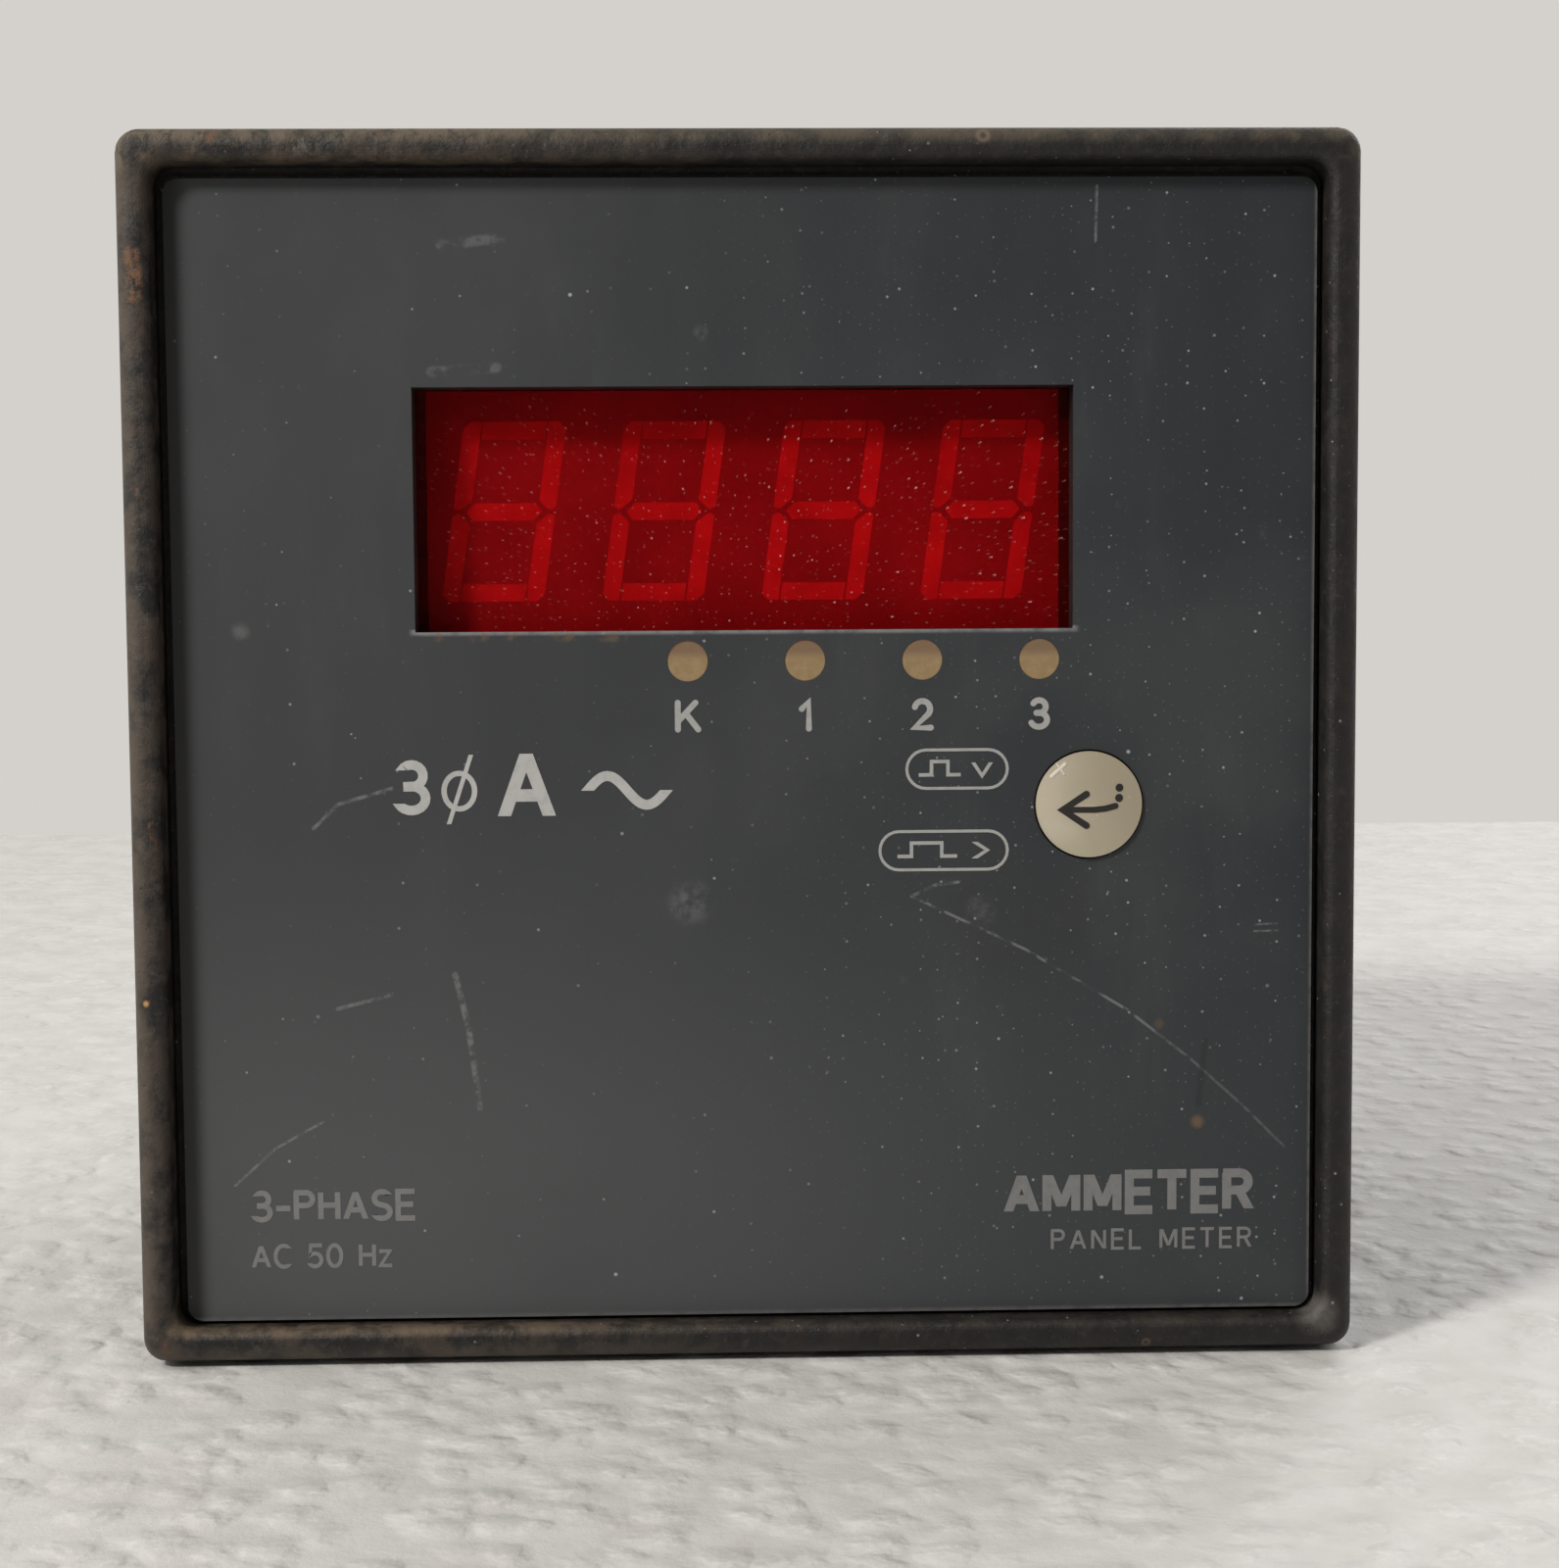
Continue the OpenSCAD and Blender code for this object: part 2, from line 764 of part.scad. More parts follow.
module heat_sink() color([0.7, 0.7, 0.72]) {
    fin_t = 1.5;
    for (x = [-24, -19.5, -13, -8.5]) block([x, main_board_y - 22, -34], [x + fin_t, main_board_y, -30]);
    block([-24, main_board_y - 22, -30], [-7, main_board_y, -28]);
}

module along_x(x0, x1, r) {
    translate([x0, fuse_y, fuse_z]) rotate([0, 90, 0]) cylinder(h = x1 - x0, r = r);
}

module fuse_glass() color([0.85, 0.9, 0.9, 0.5]) {
    along_x(fuse_x - fuse_len / 2 + 1, fuse_x + fuse_len / 2 - 1, fuse_r - 0.25);
}

module fuse_caps() color([0.75, 0.75, 0.73]) {
    cap = 5;
    for (x0 = [fuse_x - fuse_len / 2, fuse_x + fuse_len / 2 - cap]) {
        difference() {
            along_x(x0, x0 + cap, fuse_r);
            along_x(fuse_x - fuse_len / 2 + 0.9, fuse_x + fuse_len / 2 - 0.9, fuse_r - 0.2);
        }
    }
}

module fuse_clips() color([0.7, 0.6, 0.3]) {
    for (x = [fuse_x - 9.2, fuse_x + 5.2]) difference() {
        block([x, fuse_y - 1.2, fuse_z - 3.3], [x + 4, main_board_y, fuse_z + 3.3]);
        along_x(x - 1, x + 5, fuse_r + 0.05);
        block([x - 1, fuse_y - 2, fuse_z - 1.8], [x + 5, fuse_y, fuse_z + 1.8]);
    }
}

// Housing
module cavity_outline() {
    difference() {
        square([2 * cavity_half, 2 * cavity_half], center = true);
        notch_outline(notch_x - wall, notch_z - wall);
    }
}

// The side recess that holds a terminal block: left side, in the upper half
module recess_box(grow, y0, y1) {
    half = block_len / 2 + block_gap + grow;
    block([-bezel_size, y0, block_z - half], [-recess_x + grow, y1, block_z + half]);
}

module clamp_lug() {
    block([notch_x - eps, lug_y, clamp_z - 5.2], [housing_half, lug_y + lug_t, clamp_z + 5.2]);
}

module rear_housing() color([0.11, 0.11, 0.11]) {
    difference() {
        union() {
            difference() {
                slab(housing_front_y, back_y) round_square(housing_size, 2);
                difference() {
                    union() {
                        slab(housing_front_y - 1, notch_front_y - wall)
                            square(2 * cavity_half, center = true);
                        slab(notch_front_y - wall - eps, back_y - wall) cavity_outline();
                    }
                    both_turns() recess_box(wall, recess_y - wall, back_y);
                }
                slab(notch_front_y, back_y + 1) notch_outline(notch_x, notch_z);
                both_turns() recess_box(0, recess_y, back_y + 1);
            }
            both_turns() intersection() {
                clamp_lug();
                slab(0, back_y) round_square(housing_size, 2);
            }
            for (p = post_places) rod(p[0], p[1], boss_r, main_board_back_y, back_y - wall + eps);
        }
        both_turns() {
            rod(clamp_x, clamp_z, thread_r + 0.3, lug_y - 1, lug_y + lug_t + 1);
            translate([clamp_x, 0, clamp_z]) slab(lug_y - 1, lug_y + nut_t)
                circle(r = (nut_flats + 0.1) / sqrt(3), $fn = 6);
        }
        for (p = post_places)
            rod(p[0], p[1], screw_core_r - 0.1, main_board_back_y - eps, main_board_back_y + 10);
        for (s = [-1, 1], w = way_offsets)
            rod(s * link_x, -s * block_z + w, link_r + 0.2, recess_y - wall - 1, recess_y + 1);
        for (s = [-1, 1], i = [0 : vent_count - 1])
            translate([(i - (vent_count - 1) / 2) * vent_pitch, vent_y + vent_len / 2, s * housing_half])
                cube([vent_w, vent_len, 3 * wall], center = true);
        for (x = hook_xs, s = [-1, 1])
            block(
                [x - hook_w / 2 - 0.5, hook_y - 0.1, s * housing_half - wall - 0.5],
                [x + hook_w / 2 + 0.5, hook_end_y, s * housing_half + wall + 0.5]
            );
    }
}

// Terminal block for the left side, in the upper half
module terminal_block() {
    x0 = -housing_half;
    x1 = -recess_x - block_gap;
    z0 = block_z - block_len / 2;
    difference() {
        union() {
            block([x0, recess_y, z0], [x1, terminal_y, z0 + block_len]);
            block([x1 - block_wall, recess_y, z0], [x1, back_y, z0 + block_len]);
            for (i = [0 : ways])
                block([x0, recess_y, z0 + i * way_pitch], [x1, back_y, z0 + i * way_pitch + block_wall]);
        }
        for (w = way_offsets) {
            rod(-link_x, block_z + w, link_r + 0.1, recess_y - 1, terminal_y + 1);
            rod(-terminal_x, block_z + w, 1.8, recess_y - 1, terminal_y + 1);
        }
    }
}

module terminal_block_upper() color([0.07, 0.07, 0.07]) terminal_block();

module terminal_block_lower() color([0.07, 0.07, 0.07]) half_turn() terminal_block();

// Puts a piece at every terminal
module each_terminal() {
    both_turns() for (w = way_offsets) translate([-terminal_x, 0, block_z + w]) children();
}

module terminal_plates() color([0.78, 0.68, 0.4]) {
    inner_x = terminal_x - recess_x - block_wall - 0.5;
    each_terminal() difference() {
        block([-4, terminal_y, -4.1], [inner_x, terminal_y + terminal_plate_t, 4.1]);
        rod(0, 0, 1.85, terminal_y - 1, terminal_y + 2);
    }
}

module terminal_washers() color([0.75, 0.75, 0.72]) {
    y0 = terminal_y + terminal_plate_t;
    each_terminal() slab(y0, y0 + washer_t) difference() {
        round_rect(7.2, 7.6, 0.8);
        circle(r = 1.85);
    }
}

module terminal_screws() color([0.75, 0.75, 0.72]) {
    head_r = 3.1;
    head_h = 2.2;
    y0 = terminal_y + terminal_plate_t + washer_t;
    each_terminal() difference() {
        union() {
            rod(0, 0, head_r, y0, y0 + head_h);
            rod(0, 0, 1.7, recess_y + 0.3, y0 + eps);
        }
        translate([0, y0 + head_h, 0]) cube([3 * head_r, 2, 0.9], center = true);
        translate([0, y0 + head_h, 0]) cube([0.9, 2, 3.8], center = true);
    }
}

module rear_label() color([0.85, 0.85, 0.83]) {
    slab(back_y, back_y + 0.15) round_rect(52, 60, 2);
}

// Clamp pieces for the upper corner, about the clamp screw's axis
module at_clamp() {
    translate([clamp_x, 0, clamp_z]) children();
}

module clamp_nuts() color([0.75, 0.66, 0.35]) {
    both_turns() at_clamp() slab(lug_y, lug_y + nut_t) difference() {
        circle(r = nut_flats / sqrt(3), $fn = 6);
        circle(r = thread_r + running);
    }
}

module clamp_screw() {
    groove_r = 1.2;
    at_clamp() difference() {
        union() {
            slab(clip_y - 0.4, shoulder_y) circle(r = journal_r);
            slab(shoulder_y, clamp_head_y + eps) circle(r = thread_r);
            slab(clamp_head_y, clamp_head_y + clamp_head_h) circle(r = clamp_head_r);
        }
        slab(clip_y - 0.02, clip_y + clip_t + 0.02) difference() {
            circle(r = 3);
            circle(r = groove_r);
        }
        translate([0, clamp_head_y + clamp_head_h, 0]) cube([3 * clamp_head_r, 2.6, 1], center = true);
    }
}

module clamp_clip() {
    at_clamp() slab(clip_y, clip_y + clip_t) difference() {
        circle(r = 3.2);
        circle(r = 1.25);
        translate([0, -4]) square([2, 8], center = true);
    }
}

module clamp_washer() {
    at_clamp() slab(arm_back_y + running, arm_back_y + running + clamp_washer_t) difference() {
        circle(r = 4);
        circle(r = journal_r + running);
    }
}

// The arm hangs down from the screw at rest and swings out to the side
module clamp_arm() {
    lever_y = 19.5;
    pad_y = clip_y - 0.4;
    pad_len = 4;
    half = 4;
    at_clamp() difference() {
        union() {
            slab(arm_y, arm_back_y) circle(r = hub_r);
            slab(lever_y, arm_back_y) translate([-half, -arm_len]) square([2 * half, arm_len]);
            slab(pad_y, arm_back_y) translate([-half, -arm_len]) square([2 * half, pad_len]);
        }
        slab(pad_y - 1, arm_back_y + 1) circle(r = journal_r + running);
        // Serrations that bite on the panel
        for (i = [0 : 2])
            translate([0, pad_y, -arm_len + 0.9 + i * 1.1])
                rotate([45, 0, 0]) cube([3 * half, 0.5, 0.5], center = true);
    }
}

module clamp_screw_upper() color([0.7, 0.7, 0.68]) clamp_screw();
module clamp_clip_upper() color([0.3, 0.3, 0.32]) clamp_clip();
module clamp_washer_upper() color([0.75, 0.75, 0.72]) clamp_washer();
module clamp_arm_upper() color([0.6, 0.6, 0.58]) clamp_arm();
module clamp_screw_lower() color([0.7, 0.7, 0.68]) half_turn() clamp_screw();
module clamp_clip_lower() color([0.3, 0.3, 0.32]) half_turn() clamp_clip();
module clamp_washer_lower() color([0.75, 0.75, 0.72]) half_turn() clamp_washer();
module clamp_arm_lower() color([0.6, 0.6, 0.58]) half_turn() clamp_arm();

front_bezel();
front_overlay();
led_windows();
display_filter();
display_housing();
display_segments();
status_leds();
key_cap();
switch_plunger();
switch_body();
switch_dome();
switch_cover();
display_board();
display_board_screws();
microcontroller();
driver_chips();
crystal();
board_connectors();
ribbon_cable();
main_board();
main_board_screws();
current_transformers();
terminal_links();
transformer_core();
transformer_bobbin();
transformer_winding();
smoothing_capacitors();
film_capacitor();
varistor();
rectifier_bridge();
voltage_regulator();
heat_sink();
fuse_glass();
fuse_caps();
fuse_clips();
rear_housing();
terminal_block_upper();
terminal_block_lower();
terminal_plates();
terminal_washers();
terminal_screws();
rear_label();
clamp_nuts();
clamp_screw_upper();
clamp_clip_upper();
clamp_washer_upper();
clamp_arm_upper();
clamp_screw_lower();
clamp_clip_lower();
clamp_washer_lower();
clamp_arm_lower();
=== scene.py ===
"""The looks of a 96 x 96 mm panel ammeter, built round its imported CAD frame.

Row frame: +X to the right seen from the front, +Z up, the front faces -Y. Lengths are in metres.
"""

import json
import math

import bmesh
import bpy
from mathutils import Matrix, Vector


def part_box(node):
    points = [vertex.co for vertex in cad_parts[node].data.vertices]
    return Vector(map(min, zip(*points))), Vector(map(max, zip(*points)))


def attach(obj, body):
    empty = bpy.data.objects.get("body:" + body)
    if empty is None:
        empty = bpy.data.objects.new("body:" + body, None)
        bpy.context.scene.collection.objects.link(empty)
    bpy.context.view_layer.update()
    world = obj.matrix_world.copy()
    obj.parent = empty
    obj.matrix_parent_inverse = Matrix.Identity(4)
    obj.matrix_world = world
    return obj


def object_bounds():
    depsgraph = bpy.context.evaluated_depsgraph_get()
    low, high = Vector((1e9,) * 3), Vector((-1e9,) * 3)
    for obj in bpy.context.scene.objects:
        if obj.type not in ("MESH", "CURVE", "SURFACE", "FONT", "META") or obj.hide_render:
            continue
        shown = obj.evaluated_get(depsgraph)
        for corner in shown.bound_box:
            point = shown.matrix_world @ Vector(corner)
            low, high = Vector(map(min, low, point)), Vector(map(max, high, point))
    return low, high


MM = 0.001

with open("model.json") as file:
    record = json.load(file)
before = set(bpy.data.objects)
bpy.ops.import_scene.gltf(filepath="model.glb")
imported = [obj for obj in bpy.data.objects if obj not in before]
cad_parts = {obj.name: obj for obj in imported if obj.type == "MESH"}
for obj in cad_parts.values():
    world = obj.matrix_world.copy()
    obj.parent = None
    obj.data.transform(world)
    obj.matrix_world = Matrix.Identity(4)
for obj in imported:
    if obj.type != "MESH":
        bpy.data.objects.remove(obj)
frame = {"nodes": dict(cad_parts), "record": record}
cad_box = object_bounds()


# ---------------- places, read from the frame


def centre(node):
    low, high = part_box(node)
    return (low + high) / 2


FILM_LOW, FILM_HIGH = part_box("front_overlay")
FACE_Y = FILM_LOW.y
BEZEL_LOW, BEZEL_HIGH = cad_box
RIM_Y = BEZEL_LOW.y
RIM_HALF = BEZEL_HIGH.x
# The rim's opening is a little wider than the film
RIM_INNER = FILM_HIGH.x + 0.55 * MM
BACK_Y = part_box("rear_housing")[1].y
HOUSING_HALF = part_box("rear_housing")[1].x
LABEL_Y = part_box("rear_label")[1].y
WINDOW_X = centre("display_filter").x
WINDOW_HALF_W = 25.8 * MM
# The filter reaches 0.5 mm below its window
WINDOW_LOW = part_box("display_filter")[0].z + 0.5 * MM
KEY = centre("key_cap")
KEY_FRONT_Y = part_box("key_cap")[0].y
KEY_R = 4.2 * MM
DOME_R = 34 * MM
DOT_R = (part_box("led_windows")[1].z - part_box("led_windows")[0].z) / 2
DOT_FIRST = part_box("led_windows")[0].x + DOT_R
DOT_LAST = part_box("led_windows")[1].x - DOT_R
DOT_Z = centre("led_windows").z


# ---------------- camera and lights


def add_object(name, data):
    """An object with that data, linked into the scene."""
    made = bpy.data.objects.new(name, data)
    bpy.context.scene.collection.objects.link(made)
    return made


def make_camera():
    """A camera a little to the left of the middle and a little above it, level to half a degree."""
    aim = Vector((2.6 * MM, FACE_Y, -2.7 * MM))
    azimuth, elevation, roll = math.radians(1.5), math.radians(3.93), math.radians(0.38)
    distance = 193 * MM
    level = math.cos(elevation)
    ahead = Vector((math.sin(azimuth) * level, math.cos(azimuth) * level, -math.sin(elevation)))
    data = bpy.data.cameras.new("camera")
    data.sensor_width = 36
    data.lens = 56.25
    data.clip_start = 0.01
    camera = add_object("camera", data)
    camera.location = aim - ahead * distance
    turn = ahead.to_track_quat("-Z", "Y").to_matrix().to_4x4()
    camera.rotation_euler = (turn @ Matrix.Rotation(-roll, 4, "Z")).to_euler()
    bpy.context.scene.camera = camera


def area_light(name, place, target, size, power, colour):
    data = bpy.data.lights.new(name, "AREA")
    data.shape = "DISK"
    data.size = size
    data.energy = power
    data.color = colour
    light = add_object(name, data)
    light.location = place
    light.rotation_euler = (target - place).to_track_quat("-Z", "Y").to_euler()


def make_lights():
    middle = (cad_box[0] + cad_box[1]) / 2
    key_from = Vector((-1.1, -1.0, 1.1)).normalized()
    rear_from = Vector((0.9, 1.2, 0.9)).normalized()
    warm, cool = (1.0, 0.97, 0.93), (0.95, 0.97, 1.0)
    area_light("key_light", middle + key_from, middle, size=0.16, power=7.5, colour=warm)
    area_light("rear_light", middle + rear_from, middle, size=0.6, power=3.0, colour=cool)
    make_world()


def make_world():
    """A pale room that is dim in front of the meter, where its face reflects it. The backdrop is even."""
    world = bpy.data.worlds.new("world")
    world.use_nodes = True
    tree = world.node_tree
    background = tree.nodes["Background"]
    background.inputs["Color"].default_value = (0.66, 0.635, 0.605, 1)
    direction = tree.nodes.new("ShaderNodeTexCoord").outputs["Generated"]
    axes = tree.nodes.new("ShaderNodeSeparateXYZ")
    tree.links.new(direction, axes.inputs[0])
    dimming = tree.nodes.new("ShaderNodeMapRange")
    dimming.interpolation_type = "SMOOTHSTEP"
    front, side, dim, full = -0.95, -0.35, 0.1, 1.0
    for socket, value in zip(dimming.inputs[1:5], (front, side, dim, full)):
        socket.default_value = value
    tree.links.new(axes.outputs["Y"], dimming.inputs[0])
    seen = tree.nodes.new("ShaderNodeLightPath").outputs["Is Camera Ray"]
    strength = tree.nodes.new("ShaderNodeMath")
    strength.operation = "MAXIMUM"
    tree.links.new(dimming.outputs[0], strength.inputs[0])
    tree.links.new(seen, strength.inputs[1])
    tree.links.new(strength.outputs[0], background.inputs["Strength"])
    bpy.context.scene.world = world
    bpy.context.scene.view_settings.view_transform = "Standard"


# ---------------- material graphs


def rgb(red, green, blue):
    return (red, green, blue, 1)


class Graph:
    """The nodes of one material. Most methods add nodes and return the output that carries the result."""

    def __init__(self, name, **finish):
        self.material = bpy.data.materials.new(name)
        self.material.use_nodes = True
        self.tree = self.material.node_tree
        self.surface = self.tree.nodes["Principled BSDF"]
        self.finish(**finish)
        self.place = self.add("ShaderNodeTexCoord").outputs["Object"]
        self.x, self.y, self.z = self.add("ShaderNodeSeparateXYZ", Vector=self.place).outputs

    def plug(self, socket, value):
        if isinstance(value, bpy.types.NodeSocket):
            self.tree.links.new(value, socket)
        else:
            socket.default_value = value

    def add(self, kind, settings=None, **inputs):
        node = self.tree.nodes.new(kind)
        for name, value in (settings or {}).items():
            setattr(node, name, value)
        for name, value in inputs.items():
            self.plug(node.inputs[name.replace("_", " ")], value)
        return node

    def finish(self, **inputs):
        """Sets sockets of the surface shader, by name."""
        for name, value in inputs.items():
            self.plug(self.surface.inputs[name.replace("_", " ")], value)

    def math(self, operation, a, b=0.0, clamp=False):
        node = self.add("ShaderNodeMath", {"operation": operation, "use_clamp": clamp})
        self.plug(node.inputs[0], a)
        self.plug(node.inputs[1], b)
        return node.outputs[0]

    def times(self, *values):
        product = values[0]
        for value in values[1:]:
            product = self.math("MULTIPLY", product, value)
        return product

    def most(self, *values):
        largest = values[0]
        for value in values[1:]:
            largest = self.math("MAXIMUM", largest, value)
        return largest

    def ramp(self, value, start, end, low=0.0, high=1.0):
        """Goes smoothly from low to high as value goes from start to end."""
        node = self.add("ShaderNodeMapRange", {"interpolation_type": "SMOOTHSTEP"})
        for i, number in enumerate((value, start, end, low, high)):
            self.plug(node.inputs[i], number)
        return node.outputs[0]

    def mix(self, a, b, amount):
        """The colour a, turning into b as amount goes from 0 to 1."""
        node = self.add("ShaderNodeMix", {"data_type": "RGBA"})
        # The node has sockets of the same names for other types, so those for colours go by number
        factor, first, second, result = 0, 6, 7, 2
        self.plug(node.inputs[factor], amount)
        self.plug(node.inputs[first], a)
        self.plug(node.inputs[second], b)
        return node.outputs[result]

    def stretched(self, along):
        """The place, scaled along each axis, so that a pattern on it is drawn out."""
        return self.add("ShaderNodeMapping", Vector=self.place, Scale=along).outputs[0]

    def noise(self, grain, detail=3.0, roughness=0.55, on=None):
        """Noise with features about as large as grain."""
        return self.add(
            "ShaderNodeTexNoise",
            Vector=on or self.place,
            Scale=1 / grain,
            Detail=detail,
            Roughness=roughness,
        ).outputs["Fac"]

    def front(self):
        """The place seen from the front, as X and Z, for patterns on a flat face."""
        return self.add("ShaderNodeCombineXYZ", X=self.x, Y=self.z).outputs[0]

    def specks(self, spacing, size, share, flat=False):
        """Round specks at random places: one in each cell of that spacing, for that share of the cells.

        size is a speck's radius. flat keeps the specks whole on a face that looks to the front.
        """
        cell = self.add(
            "ShaderNodeTexVoronoi",
            {"voronoi_dimensions": "2D" if flat else "3D"},
            Vector=self.front() if flat else self.place,
            Scale=1 / spacing,
        )
        chance, spread, shade = self.add("ShaderNodeSeparateColor", Color=cell.outputs["Color"]).outputs
        away = self.math("DIVIDE", cell.outputs["Distance"], self.ramp(spread, 0, 1, 0.5, 1.0))
        near = self.ramp(away, size / spacing, 0.3 * size / spacing)
        return self.times(near, self.math("LESS_THAN", chance, share), self.ramp(shade, 0, 1, 0.3, 1.0))

    def stroke(self, points, width):
        """1 on the line through points in X and Z, in millimetres, falling to 0 at its edges."""
        flat = self.front()
        lines = []
        for start, end in zip(points, points[1:]):
            a, b = Vector((*start, 0)) * MM, Vector((*end, 0)) * MM
            step = b - a
            from_a = self.vector("SUBTRACT", flat, a)
            along = self.vector("DOT_PRODUCT", from_a, step, "Value")
            share = self.math("MULTIPLY", along, 1 / step.length_squared, clamp=True)
            nearest = self.add("ShaderNodeVectorMath", {"operation": "SCALE"}, Scale=share)
            nearest.inputs[0].default_value = step
            away = self.vector("SUBTRACT", from_a, nearest.outputs[0])
            length = self.vector("LENGTH", away, output="Value")
            lines.append(self.ramp(length, width * MM / 2, width * MM / 5))
        return self.most(*lines)

    def vector(self, operation, a, b=(0, 0, 0), output="Vector"):
        node = self.add("ShaderNodeVectorMath", {"operation": operation})
        self.plug(node.inputs[0], a)
        self.plug(node.inputs[1], b)
        return node.outputs[output]

    def spot(self, x, z, radius):
        """1 near the point x, z in millimetres, falling to 0 at that radius."""
        away = self.vector("DISTANCE", self.front(), Vector((x, z, 0)) * MM, "Value")
        return self.ramp(away, radius * MM, 0.2 * radius * MM)

    def ring(self, x, z, radius):
        """1 on a thin ring round the point x, z in millimetres."""
        return self.math("SUBTRACT", self.spot(x, z, radius), self.spot(x, z, 0.62 * radius), clamp=True)

    def relief(self, *layers):
        """Bumps, as pairs of height and depth, one on the other."""
        normal = None
        for height, depth in layers:
            bump = self.add("ShaderNodeBump", Height=height, Distance=depth, Strength=1.0)
            if normal:
                self.plug(bump.inputs["Normal"], normal)
            normal = bump.outputs[0]
        self.finish(Normal=normal)


# ---------------- one function for each material slot


def moulded(name, colour, grain_depth=0.008 * MM, roughness=0.55):
    """Moulded plastic: a fine grain, slightly uneven in colour and gloss."""
    g = Graph(name, Specular_IOR_Level=0.45)
    cloudy = g.noise(9 * MM, 4)
    fine = g.noise(0.25 * MM, 2)
    pale = tuple(min(1, 1.5 * c + 0.006) for c in colour[:3]) + (1,)
    g.finish(
        Base_Color=g.mix(colour, pale, g.times(g.ramp(cloudy, 0.4, 0.75), 0.4)),
        Roughness=g.ramp(cloudy, 0.3, 0.7, roughness - 0.06, roughness + 0.08),
    )
    g.relief((fine, grain_depth))
    return g.material


def rim_front(g):
    """1 on the rounded front of the rim, falling to 0 down its sides."""
    return g.ramp(g.y, RIM_Y + 2.2 * MM, RIM_Y + 1.0 * MM)


def rim_top(g):
    """1 along the upper side of the rim."""
    return g.ramp(g.z, 44 * MM, 46 * MM)


def from_middle(g):
    """How far a place is from the middle, along X or Z, whichever is more."""
    return g.most(g.math("ABSOLUTE", g.x), g.math("ABSOLUTE", g.z))


def bezel_wear_and_highlight(g, mottle, rubbed, left):
    """The rim's colour: brown in patches, grey where it is rubbed, streaked on top, with wear on its outer
    edge painted lighter on the left and on top as a highlight.
    """
    black, brown, grey = rgb(0.0105, 0.0098, 0.0098), rgb(0.046, 0.034, 0.026), rgb(0.062, 0.054, 0.046)
    colour = g.mix(black, brown, g.times(g.ramp(mottle, 0.42, 0.6), left))
    colour = g.mix(colour, grey, g.times(g.ramp(rubbed, 0.52, 0.68, 0, 0.7), g.ramp(left, 0, 1, 0.4, 1)))

    top = rim_top(g)
    outer_edge = g.times(rim_front(g), g.ramp(from_middle(g), RIM_HALF - 1.7 * MM, RIM_HALF - 0.5 * MM))
    # Wear on the outer edge, painted lighter on the left and on top as a highlight where the light falls.
    wear_and_highlight = g.times(outer_edge, g.most(left, g.times(top, 0.6)), g.ramp(mottle, 0.32, 0.58, 0.2, 0.95))
    colour = g.mix(colour, g.mix(rgb(0.082, 0.066, 0.050), rgb(0.125, 0.099, 0.066), top), wear_and_highlight)

    tilt = (0, math.radians(55), 0)
    slanted = g.add("ShaderNodeMapping", Vector=g.place, Rotation=tilt, Scale=(1, 1, 0.5))
    streaks = g.noise(1.3 * MM, 5, 0.75, on=slanted.outputs[0])
    on_top = g.times(top, rim_front(g), left)
    pale, dark = rgb(0.115, 0.092, 0.068), rgb(0.011, 0.0105, 0.01)
    colour = g.mix(colour, pale, g.times(on_top, g.ramp(streaks, 0.54, 0.66, 0, 0.6)))
    return g.mix(colour, dark, g.times(on_top, g.ramp(streaks, 0.50, 0.38, 0, 0.75)))


def bezel_dirt(g, colour, mottle, rubbed, left):
    """Adds rust, dirt on the ledge and in one corner, three small marks, and dust."""
    stains = g.noise(2.6 * MM, 5, 0.72, on=g.stretched((1, 1, 0.6)))
    colour = g.mix(colour, rgb(0.14, 0.058, 0.026), g.times(left, g.ramp(stains, 0.6, 0.72, 0, 0.7)))
    rust_patch = g.stroke(((-46.6, 38.4), (-46.4, 35.2)), 1.7)
    colour = g.mix(colour, rgb(0.17, 0.078, 0.034), g.times(rust_patch, g.ramp(rubbed, 0.4, 0.6), 0.8))

    ledge = g.times(g.ramp(from_middle(g), RIM_INNER + 0.8 * MM, RIM_INNER + 0.1 * MM), rim_front(g))
    above_or_below = g.most(g.ramp(g.z, -43 * MM, -45 * MM), g.times(rim_top(g), 0.5))
    dirt = g.times(ledge, above_or_below, left, g.ramp(mottle, 0.35, 0.65, 0.15, 0.85))
    colour = g.mix(colour, rgb(0.15, 0.11, 0.072), dirt)

    rings = g.most(g.ring(18.5, 47.2, 0.75), g.times(g.ring(31.4, -47.3, 0.5), 0.9))
    colour = g.mix(colour, rgb(0.24, 0.165, 0.115), g.times(rings, 0.75))
    colour = g.mix(colour, rgb(0.45, 0.25, 0.1), g.spot(-46.9, -19.3, 0.35))

    corner = g.spot(RIM_INNER / MM - 0.3, -RIM_INNER / MM + 0.2, 2.2)
    colour = g.mix(colour, rgb(0.12, 0.11, 0.10), g.times(corner, g.ramp(mottle, 0.35, 0.6, 0.3, 0.9)))

    dust = g.most(g.specks(1.25 * MM, 0.17 * MM, 0.75), g.times(g.specks(0.6 * MM, 0.09 * MM, 0.5), 0.5))
    return g.mix(colour, rgb(0.36, 0.34, 0.32), g.times(dust, g.ramp(left, 0, 1, 0.8, 0.3)))


